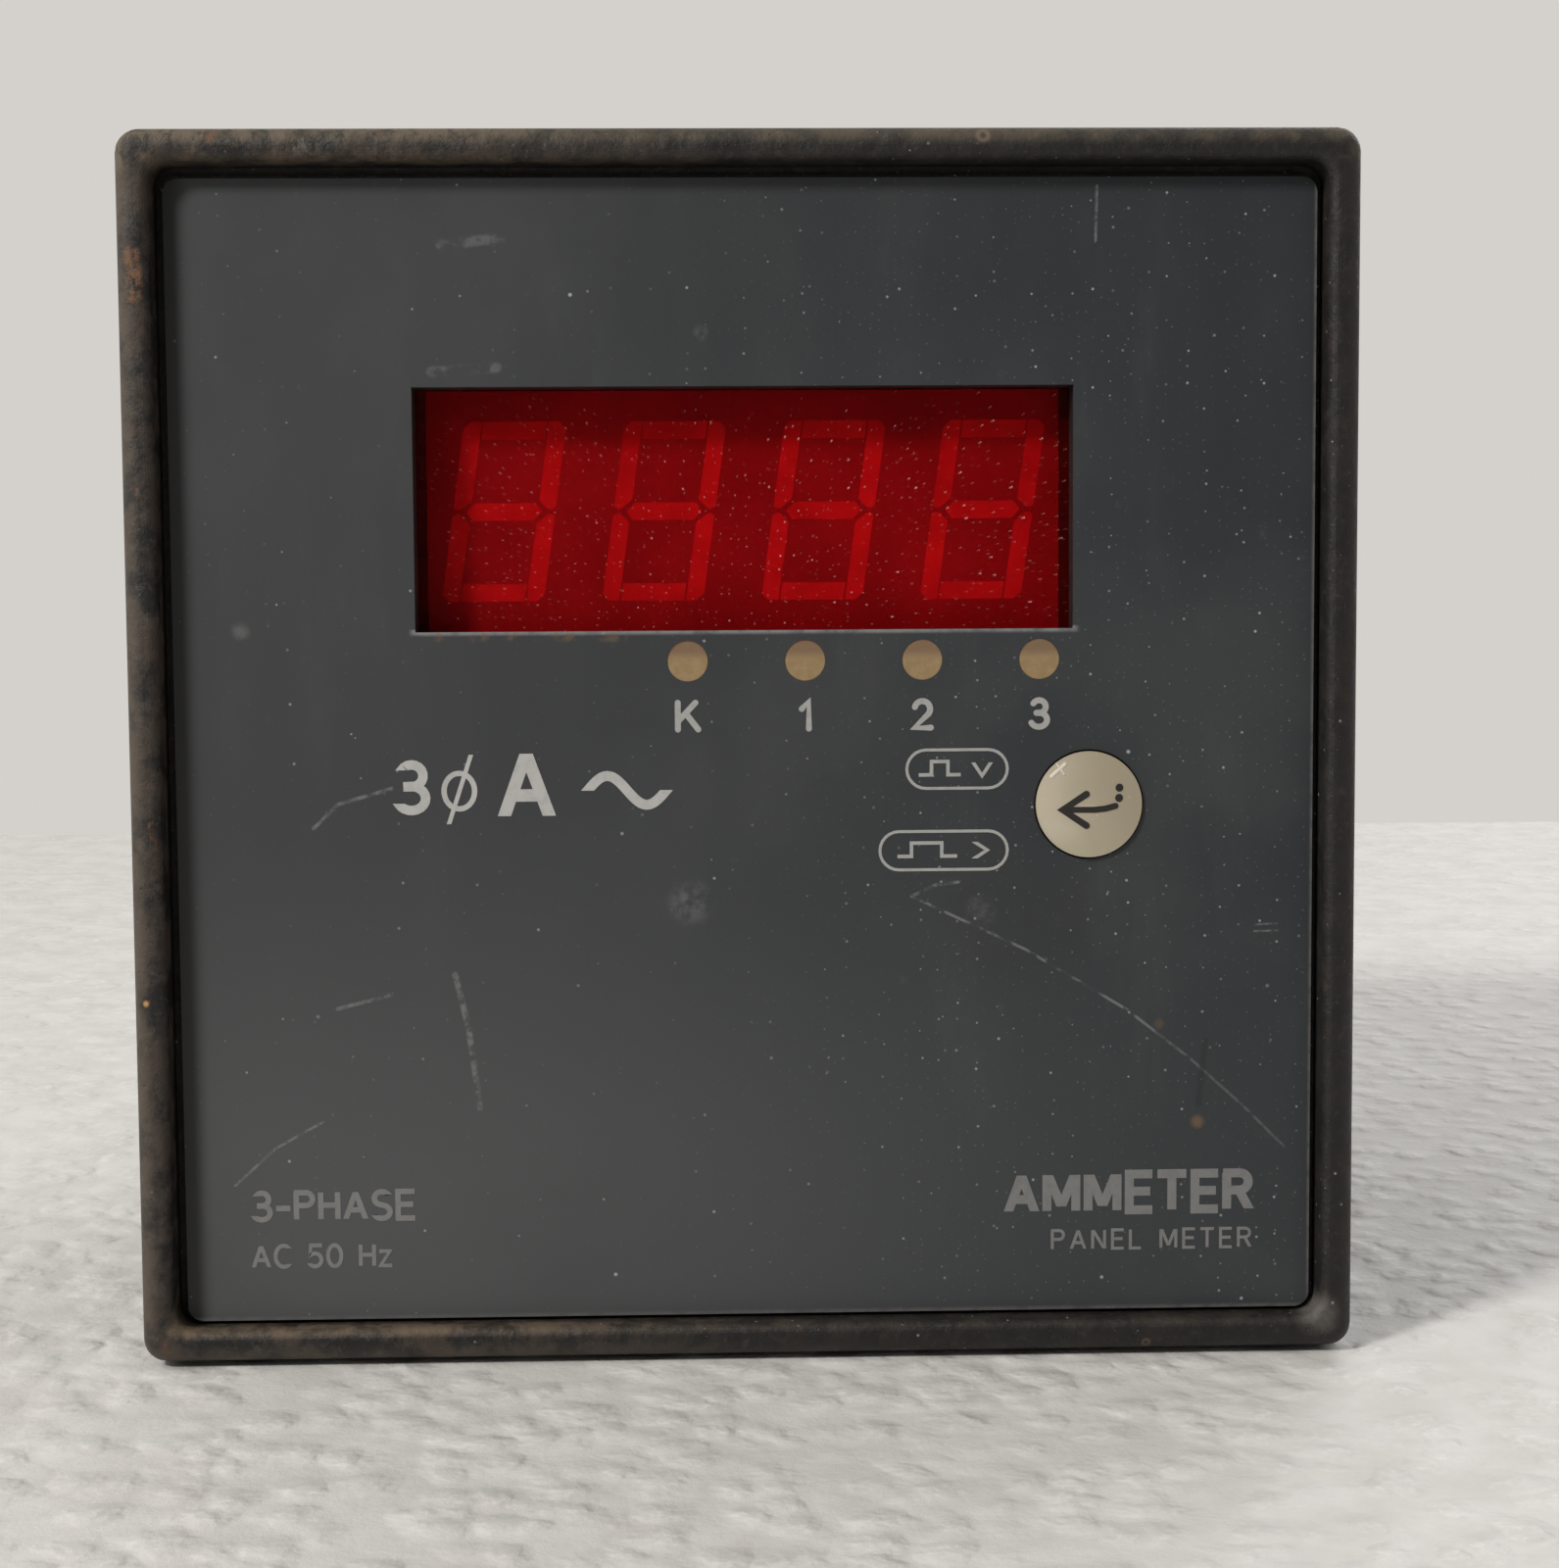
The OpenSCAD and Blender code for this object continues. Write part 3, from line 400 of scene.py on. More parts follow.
def bezel_plastic():
    """Black moulding, mottled, pitted and dirty, with wear and a painted highlight on its outer edge."""
    g = Graph("bezel_plastic", Specular_IOR_Level=0.35)
    mottle = g.noise(3.5 * MM, 5, 0.7)
    rubbed = g.noise(1.1 * MM, 5, 0.78)
    # The left is browner than the right, and the front than the sides
    left = g.times(
        g.ramp(g.x, 12 * MM, -34 * MM, 0.12, 1.0),
        g.ramp(g.y, RIM_Y + 4 * MM, RIM_Y + 1 * MM, 0.3, 1.0),
    )
    colour = bezel_dirt(g, bezel_wear_and_highlight(g, mottle, rubbed, left), mottle, rubbed, left)
    g.finish(Base_Color=colour, Roughness=g.ramp(mottle, 0.3, 0.7, 0.46, 0.64))
    pits = g.specks(1.7 * MM, 0.3 * MM, 0.5)
    g.relief(
        (g.noise(0.25 * MM, 3, 0.6), 0.03 * MM),
        (rubbed, 0.13 * MM),
        (g.noise(3.2 * MM, 3, 0.5), 0.35 * MM),
        (g.math("SUBTRACT", 1.0, pits), 0.1 * MM),
    )
    return g.material


# Marks on the film, in millimetres: the points of a line in X and Z and its width, or a place and a radius
LONG_SCRATCH = (
    ((13.0, -11.7), (22.0, -16.0), (30.1, -20.9), (35.2, -24.9), (39.4, -28.7), (42.8, -32.1)), 0.3
)
HAIRLINES = (
    (((-34.0, -5.9), (-32.0, -4.0), (-27.8, -2.8)), 0.4),
    (((-23.1, -17.6), (-22.1, -21.9), (-21.3, -28.2)), 0.65),
    (((27.6, 43.7), (27.5, 39.5)), 0.3),
    (((13.0, -11.7), (14.9, -10.8), (16.7, -10.6)), 0.35),
    (((-32.4, -20.2), (-28.1, -19.1)), 0.4),
    (((-40.7, -34.2), (-37.5, -31.3), (-33.7, -29.2)), 0.3),
    (((40.3, -14.2), (42.1, -14.15)), 0.22),
    (((40.3, -14.75), (42.1, -14.7)), 0.22),
)
SMEARS = (
    (((-23.3, 39.3), (-18.8, 39.8)), 1.1),
    (((-24.2, 29.6), (-19.2, 29.9)), 1.1),
)
SMUDGES = ((-4.5, -12.0, 2.3), (-39.4, 9.5, 1.0), (-3.3, 32.5, 0.8))
FAINT_SMUDGE = (18.5, -13.0, 1.8)
DARK_SMUDGE = (21.5, -12.8, 7.5)
DARK_STREAK = (((36.4, -23.5), (35.9, -28.6)), 0.7)
BROWN_SPOT = (35.8, -30.0, 0.75)
FAINT_BROWN_SPOT = (32.7, -22.1, 0.6)
BROWN_LINE = (((-24.0, WINDOW_LOW / MM - 0.4), (-8.0, WINDOW_LOW / MM - 0.4)), 1.1)


def film_shade(g, blotches, wipes):
    """The film's colour: cloudy, blotched and smudged, with a painted reflection that makes it paler
    towards the left and the lower left.
    """
    # Painted reflection: paler on the left, darker on the right.
    colour = g.mix(rgb(0.043, 0.0455, 0.049), rgb(0.026, 0.0295, 0.0340), g.ramp(g.x, -45 * MM, 38 * MM))
    # Painted reflection: paler towards the lower left.
    reflection_low_left = g.times(g.ramp(g.z, -2 * MM, -38 * MM), g.ramp(g.x, 45 * MM, -30 * MM, 0.14, 1.0))
    colour = g.mix(colour, rgb(0.083, 0.088, 0.091), g.times(reflection_low_left, 0.76))
    cloudy = g.noise(26 * MM, 4, 0.55)
    colour = g.mix(colour, rgb(0.056, 0.059, 0.063), g.ramp(cloudy, 0.45, 0.7, 0, 0.45))
    colour = g.mix(colour, rgb(0.07, 0.073, 0.076), g.times(g.ramp(wipes, 0.55, 0.75), 0.2))
    colour = g.mix(colour, rgb(0.08, 0.084, 0.088), g.ramp(blotches, 0.62, 0.8, 0, 0.35))
    dark = g.times(g.spot(*DARK_SMUDGE), g.ramp(wipes, 0.3, 0.6), 0.5)
    return g.mix(colour, rgb(0.03, 0.029, 0.029), dark)


def film_dust(g):
    """Dust in four sizes. The finer two thicken towards the right."""
    to_right = g.ramp(g.x, -14 * MM, 24 * MM, 0.16, 1.0)
    return g.most(
        g.times(g.specks(1.5 * MM, 0.15 * MM, 0.24, flat=True), to_right, 0.75),
        g.times(g.specks(0.62 * MM, 0.09 * MM, 0.3, flat=True), to_right, 0.24),
        g.times(g.specks(4.6 * MM, 0.16 * MM, 0.45, flat=True), 0.65),
        g.times(g.specks(19 * MM, 0.21 * MM, 0.6, flat=True), 0.85),
    )


def film_marks(g, blotches):
    """Pale marks: scratches, smears, and the line of dust along the lower edge of the window."""
    gaps = g.ramp(g.noise(2.2 * MM, 3, 0.7), 0.42, 0.56, 0.05, 1.0)
    broken = g.ramp(g.noise(1.3 * MM, 4, 0.8), 0.38, 0.62)
    hairlines = g.most(*[g.stroke(*line) for line in HAIRLINES])
    smears = g.most(
        *[g.stroke(*line) for line in SMEARS],
        *[g.spot(*place) for place in SMUDGES],
        g.times(g.spot(*FAINT_SMUDGE), 0.5),
    )
    across = g.math("ABSOLUTE", g.math("SUBTRACT", g.x, WINDOW_X))
    dust_line = g.times(
        g.ramp(across, WINDOW_HALF_W + 0.6 * MM, WINDOW_HALF_W),
        g.ramp(g.z, WINDOW_LOW - 0.4 * MM, WINDOW_LOW - 0.05 * MM),
        g.ramp(g.z, WINDOW_LOW + 0.3 * MM, WINDOW_LOW + 0.1 * MM),
    )
    return g.most(
        g.times(g.stroke(*LONG_SCRATCH), gaps, g.ramp(g.x, 30 * MM, 37 * MM, 0.5, 0.24)),
        g.times(hairlines, broken, 0.5),
        g.times(smears, g.ramp(blotches, 0.38, 0.6), 0.27),
        g.times(dust_line, g.ramp(blotches, 0.3, 0.6, 0.35, 0.85)),
    )


def film_stains_and_painted_light(g, colour, blotches):
    """Adds brown stains, a dark streak, a painted shadow of the rim along the left, and a painted highlight
    along the edges at the right and below.
    """
    brown = g.most(
        g.times(g.spot(*BROWN_SPOT), 0.8),
        g.times(g.stroke(*BROWN_LINE), g.ramp(blotches, 0.54, 0.68), 0.55),
        g.times(g.spot(*FAINT_BROWN_SPOT), 0.35),
    )
    colour = g.mix(colour, rgb(0.15, 0.095, 0.055), brown)
    colour = g.mix(colour, rgb(0.02, 0.026, 0.028), g.times(g.stroke(*DARK_STREAK), 0.7))
    # Painted shadow of the rim: the film is darker along its left edge.
    grime_and_shade = g.ramp(g.x, FILM_LOW.x + 2.3 * MM, FILM_LOW.x + 0.6 * MM)
    colour = g.mix(colour, rgb(0.011, 0.0105, 0.011), g.times(grime_and_shade, 0.72))
    # Painted highlight: a pale line along the film's right and lower edges, where they catch the light.
    edges = g.most(
        g.ramp(g.x, FILM_HIGH.x - 0.3 * MM, FILM_HIGH.x - 0.06 * MM),
        g.ramp(g.z, FILM_LOW.z + 0.4 * MM, FILM_LOW.z + 0.1 * MM),
    )
    wear_and_highlight = g.times(edges, g.ramp(blotches, 0.3, 0.6, 0.3, 0.9))
    return g.mix(colour, rgb(0.12, 0.118, 0.115), wear_and_highlight)


def overlay_film():
    """Dark grey satin film, with fine grain, dust, scratches, smears and stains, a painted reflection, a
    painted shadow along the left and a painted highlight on two edges.
    """
    g = Graph("overlay_film", Specular_IOR_Level=0.4)
    blotches = g.noise(1.6 * MM, 4, 0.7)
    wipes = g.noise(7 * MM, 4, 0.7, on=g.stretched((1.0, 1.0, 0.25)))
    colour = film_shade(g, blotches, wipes)
    colour = g.mix(colour, rgb(0.40, 0.43, 0.45), film_dust(g))
    colour = g.mix(colour, rgb(0.25, 0.26, 0.265), film_marks(g, blotches))
    colour = film_stains_and_painted_light(g, colour, blotches)
    g.finish(Base_Color=colour, Roughness=g.ramp(wipes, 0.3, 0.7, 0.46, 0.56))
    grain = g.noise(0.16 * MM, 2, 0.6)
    g.relief((grain, 0.006 * MM), (blotches, 0.004 * MM))
    return g.material


def paint(name, colour):
    """A print colour for legends, with a little wear and some dust."""
    g = Graph(name, Specular_IOR_Level=0.35, Roughness=0.6)
    wear_and_highlight = g.noise(0.9 * MM, 3, 0.7)
    dim = tuple(0.88 * c for c in colour[:3]) + (1,)
    shade = g.mix(colour, dim, g.ramp(wear_and_highlight, 0.4, 0.7))
    dust = g.specks(1.1 * MM, 0.1 * MM, 0.25, flat=True)
    g.finish(Base_Color=g.mix(shade, rgb(0.16, 0.155, 0.15), g.times(dust, 0.6)))
    return g.material


def dot_window():
    """Translucent tan indicator window, darker at the top with a painted shadow of its hole's rim."""
    g = Graph("dot_window", Roughness=0.45)
    mottle = g.noise(0.7 * MM, 4, 0.65)
    # Painted shadow of the hole's rim: darker at the top of the window.
    shaded_top = g.ramp(g.math("ADD", g.z, g.times(mottle, 0.9 * MM)), DOT_Z + 0.5 * MM, DOT_Z + 1.3 * MM)
    colour = g.mix(rgb(0.275, 0.188, 0.088), rgb(0.325, 0.232, 0.126), g.ramp(mottle, 0.35, 0.7))
    colour = g.mix(colour, rgb(0.175, 0.105, 0.065), g.times(shaded_top, 0.75))
    g.finish(Base_Color=colour)
    g.relief((mottle, 0.01 * MM))
    return g.material


def red_filter():
    """Clear red acrylic, thinly dusted."""
    g = Graph("red_filter", Specular_IOR_Level=0.12, Roughness=0.3)
    dust = g.most(
        g.times(g.specks(1.3 * MM, 0.12 * MM, 0.6, flat=True), g.ramp(g.x, -30 * MM, 15 * MM, 0.4, 0.9)),
        g.times(g.specks(0.62 * MM, 0.085 * MM, 0.4, flat=True), 0.55),
    )
    colour = g.mix(rgb(0.13, 0.0, 0.001), rgb(0.85, 0.38, 0.36), dust)
    haze = g.noise(6 * MM, 4, 0.7)
    g.finish(Base_Color=colour, Alpha=g.most(g.ramp(haze, 0.35, 0.75, 0.17, 0.25), dust))
    return g.material


def display_face():
    """Matt face of the display, deep red behind the filter."""
    g = Graph("display_face", Roughness=0.6, Specular_IOR_Level=0.08)
    cloudy = g.noise(8 * MM, 3)
    g.finish(Base_Color=g.mix(rgb(0.33, 0.0, 0.002), rgb(0.40, 0.001, 0.003), g.ramp(cloudy, 0.35, 0.65)))
    g.relief((g.noise(0.2 * MM), 0.004 * MM))
    return g.material


def segment_epoxy():
    """Milky red light pipes, unevenly bright."""
    g = Graph("segment_epoxy", Roughness=0.5, Specular_IOR_Level=0.08)
    milky = g.noise(2.4 * MM, 3)
    g.finish(Base_Color=g.mix(rgb(0.70, 0.002, 0.004), rgb(0.84, 0.004, 0.006), g.ramp(milky, 0.35, 0.65)))
    g.relief((milky, 0.006 * MM))
    return g.material


def led_lens():
    g = Graph("led_lens", Roughness=0.25, Coat_Weight=0.4)
    milky = g.noise(1.0 * MM)
    g.finish(Base_Color=g.mix(rgb(0.5, 0.06, 0.035), rgb(0.65, 0.12, 0.07), milky))
    return g.material


def key_plastic():
    """Cream key under a glossy skin, with painted shade towards the upper right and the bottom, and creases
    at its upper left with painted highlights.
    """
    g = Graph("key_plastic", Specular_IOR_Level=0.5, Coat_Weight=0.3, Coat_Roughness=0.2)
    grime_and_shade = g.noise(7 * MM, 4, 0.5)
    # Painted shade: the key darkens towards the right and upper right.
    across = g.math("ADD", g.x, g.times(g.math("SUBTRACT", g.z, KEY.z), 0.5))
    shade_upper_right = g.ramp(across, KEY.x - KEY_R, KEY.x + KEY_R)
    colour = g.mix(rgb(0.52, 0.465, 0.36), rgb(0.36, 0.315, 0.228), shade_upper_right)
    colour = g.mix(colour, rgb(0.36, 0.31, 0.22), g.ramp(grime_and_shade, 0.4, 0.7, 0, 0.6))
    # Painted shade: darker towards the bottom of the key.
    low = g.ramp(g.z, KEY.z - 1.5 * MM, KEY.z - KEY_R)
    colour = g.mix(colour, rgb(0.38, 0.345, 0.235), g.times(low, 0.7))
    x, z = KEY.x / MM, KEY.z / MM
    creases = g.most(
        g.stroke(((x - 3.0, z + 2.2), (x - 1.9, z + 3.2)), 0.35),
        g.stroke(((x - 2.6, z + 3.3), (x - 2.0, z + 2.4)), 0.25),
    )
    # The creases are bumps; their pale colour is a painted highlight.
    colour = g.mix(colour, rgb(0.75, 0.70, 0.62), g.times(creases, 0.75))
    dust = g.times(g.specks(1.3 * MM, 0.1 * MM, 0.3, flat=True), 0.5)
    colour = g.mix(colour, rgb(0.62, 0.6, 0.55), dust)
    g.finish(Base_Color=colour, Roughness=g.ramp(grime_and_shade, 0.3, 0.7, 0.34, 0.46))
    g.relief((g.noise(0.9 * MM, 2), 0.01 * MM), (creases, 0.05 * MM))
    return g.material


def circuit_board():
    """Green solder mask over a woven laminate, with copper tracks showing through."""
    g = Graph("circuit_board", Roughness=0.35, Specular_IOR_Level=0.5)
    bricks = g.add("ShaderNodeTexBrick", {"offset": 0.5}, Vector=g.front(), Scale=180.0, Mortar_Size=0.035)
    tracks = bricks.outputs["Fac"]
    weave = g.noise(0.5 * MM, 2)
    colour = g.mix(rgb(0.015, 0.10, 0.035), rgb(0.03, 0.17, 0.06), g.times(tracks, 0.8))
    g.finish(Base_Color=g.mix(colour, rgb(0.02, 0.13, 0.05), g.ramp(weave, 0.4, 0.7, 0, 0.4)))
    g.relief((tracks, 0.02 * MM))
    return g.material


def cable_grey():
    """Flat cable: a ridge for each wire."""
    g = Graph("cable_grey", Roughness=0.5)
    ridges = g.math("SINE", g.times(g.x, 2 * math.pi / (1.27 * MM)))
    g.finish(Base_Color=g.mix(rgb(0.25, 0.25, 0.26), rgb(0.36, 0.36, 0.37), g.ramp(ridges, -1, 1)))
    g.relief((ridges, 0.08 * MM))
    return g.material


def wound(name, colour, pitch):
    """A taped or wound coil: rings round it at that pitch, uneven like hand-wrapped tape."""
    g = Graph(name, Roughness=0.42)
    wavy = g.math("ADD", g.y, g.times(g.noise(5 * MM), 0.6 * MM))
    rings = g.math("SINE", g.times(wavy, 2 * math.pi / pitch))
    deep = tuple(0.6 * c for c in colour[:3]) + (1,)
    g.finish(Base_Color=g.mix(deep, colour, g.ramp(rings, -1.0, -0.4)))
    g.relief((g.ramp(rings, -1, 1), 0.06 * MM))
    return g.material


def capacitor_sleeve():
    g = Graph("capacitor_sleeve", Roughness=0.25, Coat_Weight=0.3)
    cloudy = g.noise(5 * MM)
    g.finish(Base_Color=g.mix(rgb(0.012, 0.016, 0.035), rgb(0.025, 0.03, 0.055), cloudy))
    g.relief((cloudy, 0.05 * MM))
    return g.material


def label_film():
    """Satin silver-white label, slightly yellowed."""
    g = Graph("label_film", Roughness=0.42, Metallic=0.1)
    aged = g.noise(14 * MM, 4)
    g.finish(Base_Color=g.mix(rgb(0.62, 0.62, 0.60), rgb(0.52, 0.50, 0.44), g.ramp(aged, 0.4, 0.7)))
    g.relief((g.noise(1.5 * MM), 0.008 * MM))
    return g.material


def metal(name, colour, dull, roughness, brush=(1, 1, 1), tarnish=None):
    """Plated or bare metal, brushed along the axis with the smallest scale, tarnished in patches."""
    g = Graph(name, Metallic=1.0)
    lines = g.noise(0.22 * MM, 3, 0.6, on=g.stretched(brush))
    patches = g.noise(2.5 * MM, 5, 0.65)
    shade = g.mix(colour, dull, g.ramp(patches, 0.42, 0.68))
    if tarnish:
        shade = g.mix(shade, tarnish, g.ramp(g.noise(1.1 * MM, 4, 0.7), 0.6, 0.75, 0, 0.7))
    g.finish(Base_Color=shade, Roughness=g.ramp(patches, 0.3, 0.7, roughness, roughness + 0.18))
    g.relief((lines, 0.006 * MM))
    return g.material


def core_steel():
    """Stacked laminations: fine lines across the stack, dull grey with rust."""
    g = Graph("core_steel", Metallic=0.8)
    sheets = g.math("SINE", g.times(g.z, 2 * math.pi / (0.5 * MM)))
    rust = g.noise(3 * MM, 5, 0.7)
    colour = g.mix(rgb(0.12, 0.12, 0.125), rgb(0.26, 0.26, 0.27), g.ramp(sheets, -1, 1))
    rusty = g.mix(colour, rgb(0.16, 0.07, 0.03), g.ramp(rust, 0.6, 0.75, 0, 0.6))
    g.finish(Base_Color=rusty, Roughness=0.55)
    g.relief((sheets, 0.04 * MM))
    return g.material


def clear_glass():
    g = Graph("clear_glass", Roughness=0.05, IOR=1.5, Alpha=0.3)
    g.finish(Base_Color=g.mix(rgb(0.8, 0.85, 0.85), rgb(0.7, 0.76, 0.76), g.noise(4 * MM)))
    return g.material


MATERIALS = {
    "bezel_plastic": bezel_plastic,
    "overlay_film": overlay_film,
    "dot_window": dot_window,
    "red_filter": red_filter,
    "display_face": display_face,
    "segment_epoxy": segment_epoxy,
    "led_lens": led_lens,
    "key_plastic": key_plastic,
    "black_plastic": lambda: moulded("black_plastic", rgb(0.022, 0.022, 0.023)),
    "ivory_plastic": lambda: moulded("ivory_plastic", rgb(0.62, 0.58, 0.46), roughness=0.45),
    "circuit_board": circuit_board,
    "cable_grey": cable_grey,
    "coil_blue": lambda: wound("coil_blue", rgb(0.02, 0.06, 0.24), 2.4 * MM),
    "coil_tape": lambda: wound("coil_tape", rgb(0.60, 0.42, 0.06), 3.0 * MM),
    "capacitor_sleeve": capacitor_sleeve,
    "housing_plastic": lambda: moulded("housing_plastic", rgb(0.024, 0.0235, 0.023), 0.02 * MM, 0.6),
    "terminal_plastic": lambda: moulded("terminal_plastic", rgb(0.018, 0.018, 0.019), roughness=0.45),
    "label_film": label_film,
    "tinned_steel": lambda: metal("tinned_steel", rgb(0.60, 0.60, 0.58), rgb(0.45, 0.45, 0.43), 0.28),
    "zinc_steel": lambda: metal(
        "zinc_steel", rgb(0.58, 0.58, 0.56), rgb(0.40, 0.40, 0.38), 0.3, (1, 0.1, 1), rgb(0.22, 0.15, 0.09)
    ),
    "black_steel": lambda: metal("black_steel", rgb(0.06, 0.06, 0.065), rgb(0.03, 0.03, 0.03), 0.4),
    "clamp_metal": lambda: metal("clamp_metal", rgb(0.42, 0.42, 0.41), rgb(0.3, 0.3, 0.29), 0.42),
    "core_steel": core_steel,
    "aluminium": lambda: metal("aluminium", rgb(0.66, 0.66, 0.68), rgb(0.5, 0.5, 0.52), 0.35, (1, 0.08, 1)),
    "brass": lambda: metal(
        "brass", rgb(0.62, 0.43, 0.16), rgb(0.4, 0.27, 0.11), 0.3, tarnish=rgb(0.16, 0.1, 0.05)
    ),
    "copper": lambda: metal("copper", rgb(0.66, 0.32, 0.16), rgb(0.4, 0.19, 0.1), 0.32),
    "clear_glass": clear_glass,
}


def dress_nodes():
    """Gives every CAD node the material of its slot."""
    made = {}
    for part in frame["record"]["subparts"]:
        slot = part["material_slot"]
        if slot not in made:
            made[slot] = MATERIALS[slot]()
        node = frame["nodes"][part["node"]]
        node.data.materials.clear()
        node.data.materials.append(made[slot])


# ---------------- printed strokes

# How far print stands proud of its surface, and how deep it reaches into it
PRINT_T = 0.03 * MM
EMBED = 0.05 * MM
# Strokes that cross differ by this much in depth
CROSSING_STEP = 0.003 * MM


def arc(x, z, rx, rz, start, end, steps=14):
    """Points along an ellipse's arc, with its angles in degrees from +X towards +Z."""
    angles = [math.radians(start + (end - start) * i / steps) for i in range(steps + 1)]
    return [(x + rx * math.cos(a), z + rz * math.sin(a)) for a in angles]


def offset_sides(points, width, closed, level):
    """The left and right edge of a stroke along points, mitred at its corners.

    With level, the ends of a rising stroke are cut along X, as in a letter, and those of a level stroke
    reach as far out as an upright's side would.
    """
    count = len(points)
    sharpest_mitre, steep, overhang = 0.6, 0.4, 0.4
    left, right = [], []
    for i, point in enumerate(points):
        here = Vector(point)
        before = Vector(points[i - 1]) if closed or i > 0 else None
        after = Vector(points[(i + 1) % count]) if closed or i < count - 1 else None
        steps = [(here - before).normalized()] if before else []
        steps += [(after - here).normalized()] if after else []
        along = sum(steps, Vector((0, 0))).normalized()
        across = Vector((-along.y, along.x))
        edge_normal = Vector((-steps[0].y, steps[0].x))
        reach = width / 2 / max(sharpest_mitre, across.dot(edge_normal))
        slide = Vector((0, 0))
        if level and len(steps) == 1:
            if abs(along.y) > steep:
                slide = -along * (across.y * reach / along.y)
            else:
                here += along * (overhang if i else -overhang) * width
        left.append(here + across * reach + slide)
        right.append(here - across * reach - slide)
    return left, right


def add_stroke(bm, points, width, front, back, closed=False, round_ends=True, surface=None):
    """Adds a flat solid stroke along points in X and Z, between the depths front and back.

    surface gives how far behind front the solid lies at x, z, for a stroke on a domed face.
    """
    left, right = offset_sides(points, width, closed, level=not round_ends)
    rows = list(zip(left, right))
    if round_ends and not closed:
        # Seen along the stroke, the cap at its start runs backwards, so its left is the stroke's right
        start = [(b, a) for a, b in reversed(end_cap(points[1], points[0], width))]
        rows = start + rows + end_cap(points[-2], points[-1], width)
    drop = surface or (lambda x, z: 0.0)

    def corner(point, depth):
        return bm.verts.new((point.x, depth + drop(point.x, point.y), point.y))

    rings = [
        (corner(a, front), corner(b, front), corner(b, back), corner(a, back))
        for a, b in rows
    ]
    join_rings(bm, rings, closed)


def join_rings(bm, rings, closed=False):
    """Adds the faces between rings of four vertices, and over both ends unless the last meets the first."""
    for one, two in zip(rings, rings[1:] + rings[:1] if closed else rings[1:]):
        for i in range(4):
            bm.faces.new((one[i], two[i], two[(i + 1) % 4], one[(i + 1) % 4]))
    if not closed:
        bm.faces.new(rings[0])
        bm.faces.new(rings[-1][::-1])


def end_cap(inner, end, width, steps=4):
    """Rows that round off the end of a stroke, from its last point outwards."""
    tip = Vector(end)
    along = (tip - Vector(inner)).normalized()
    across = Vector((-along.y, along.x))
    rows = []
    # The last row stays short of 90 degrees, so that its two sides don't meet
    last = 86
    for i in range(1, steps + 1):
        angle = math.radians(last * i / steps)
        middle = tip + along * (width / 2 * math.sin(angle))
        half = across * (width / 2 * math.cos(angle))
        rows.append((middle + half, middle - half))
    return rows


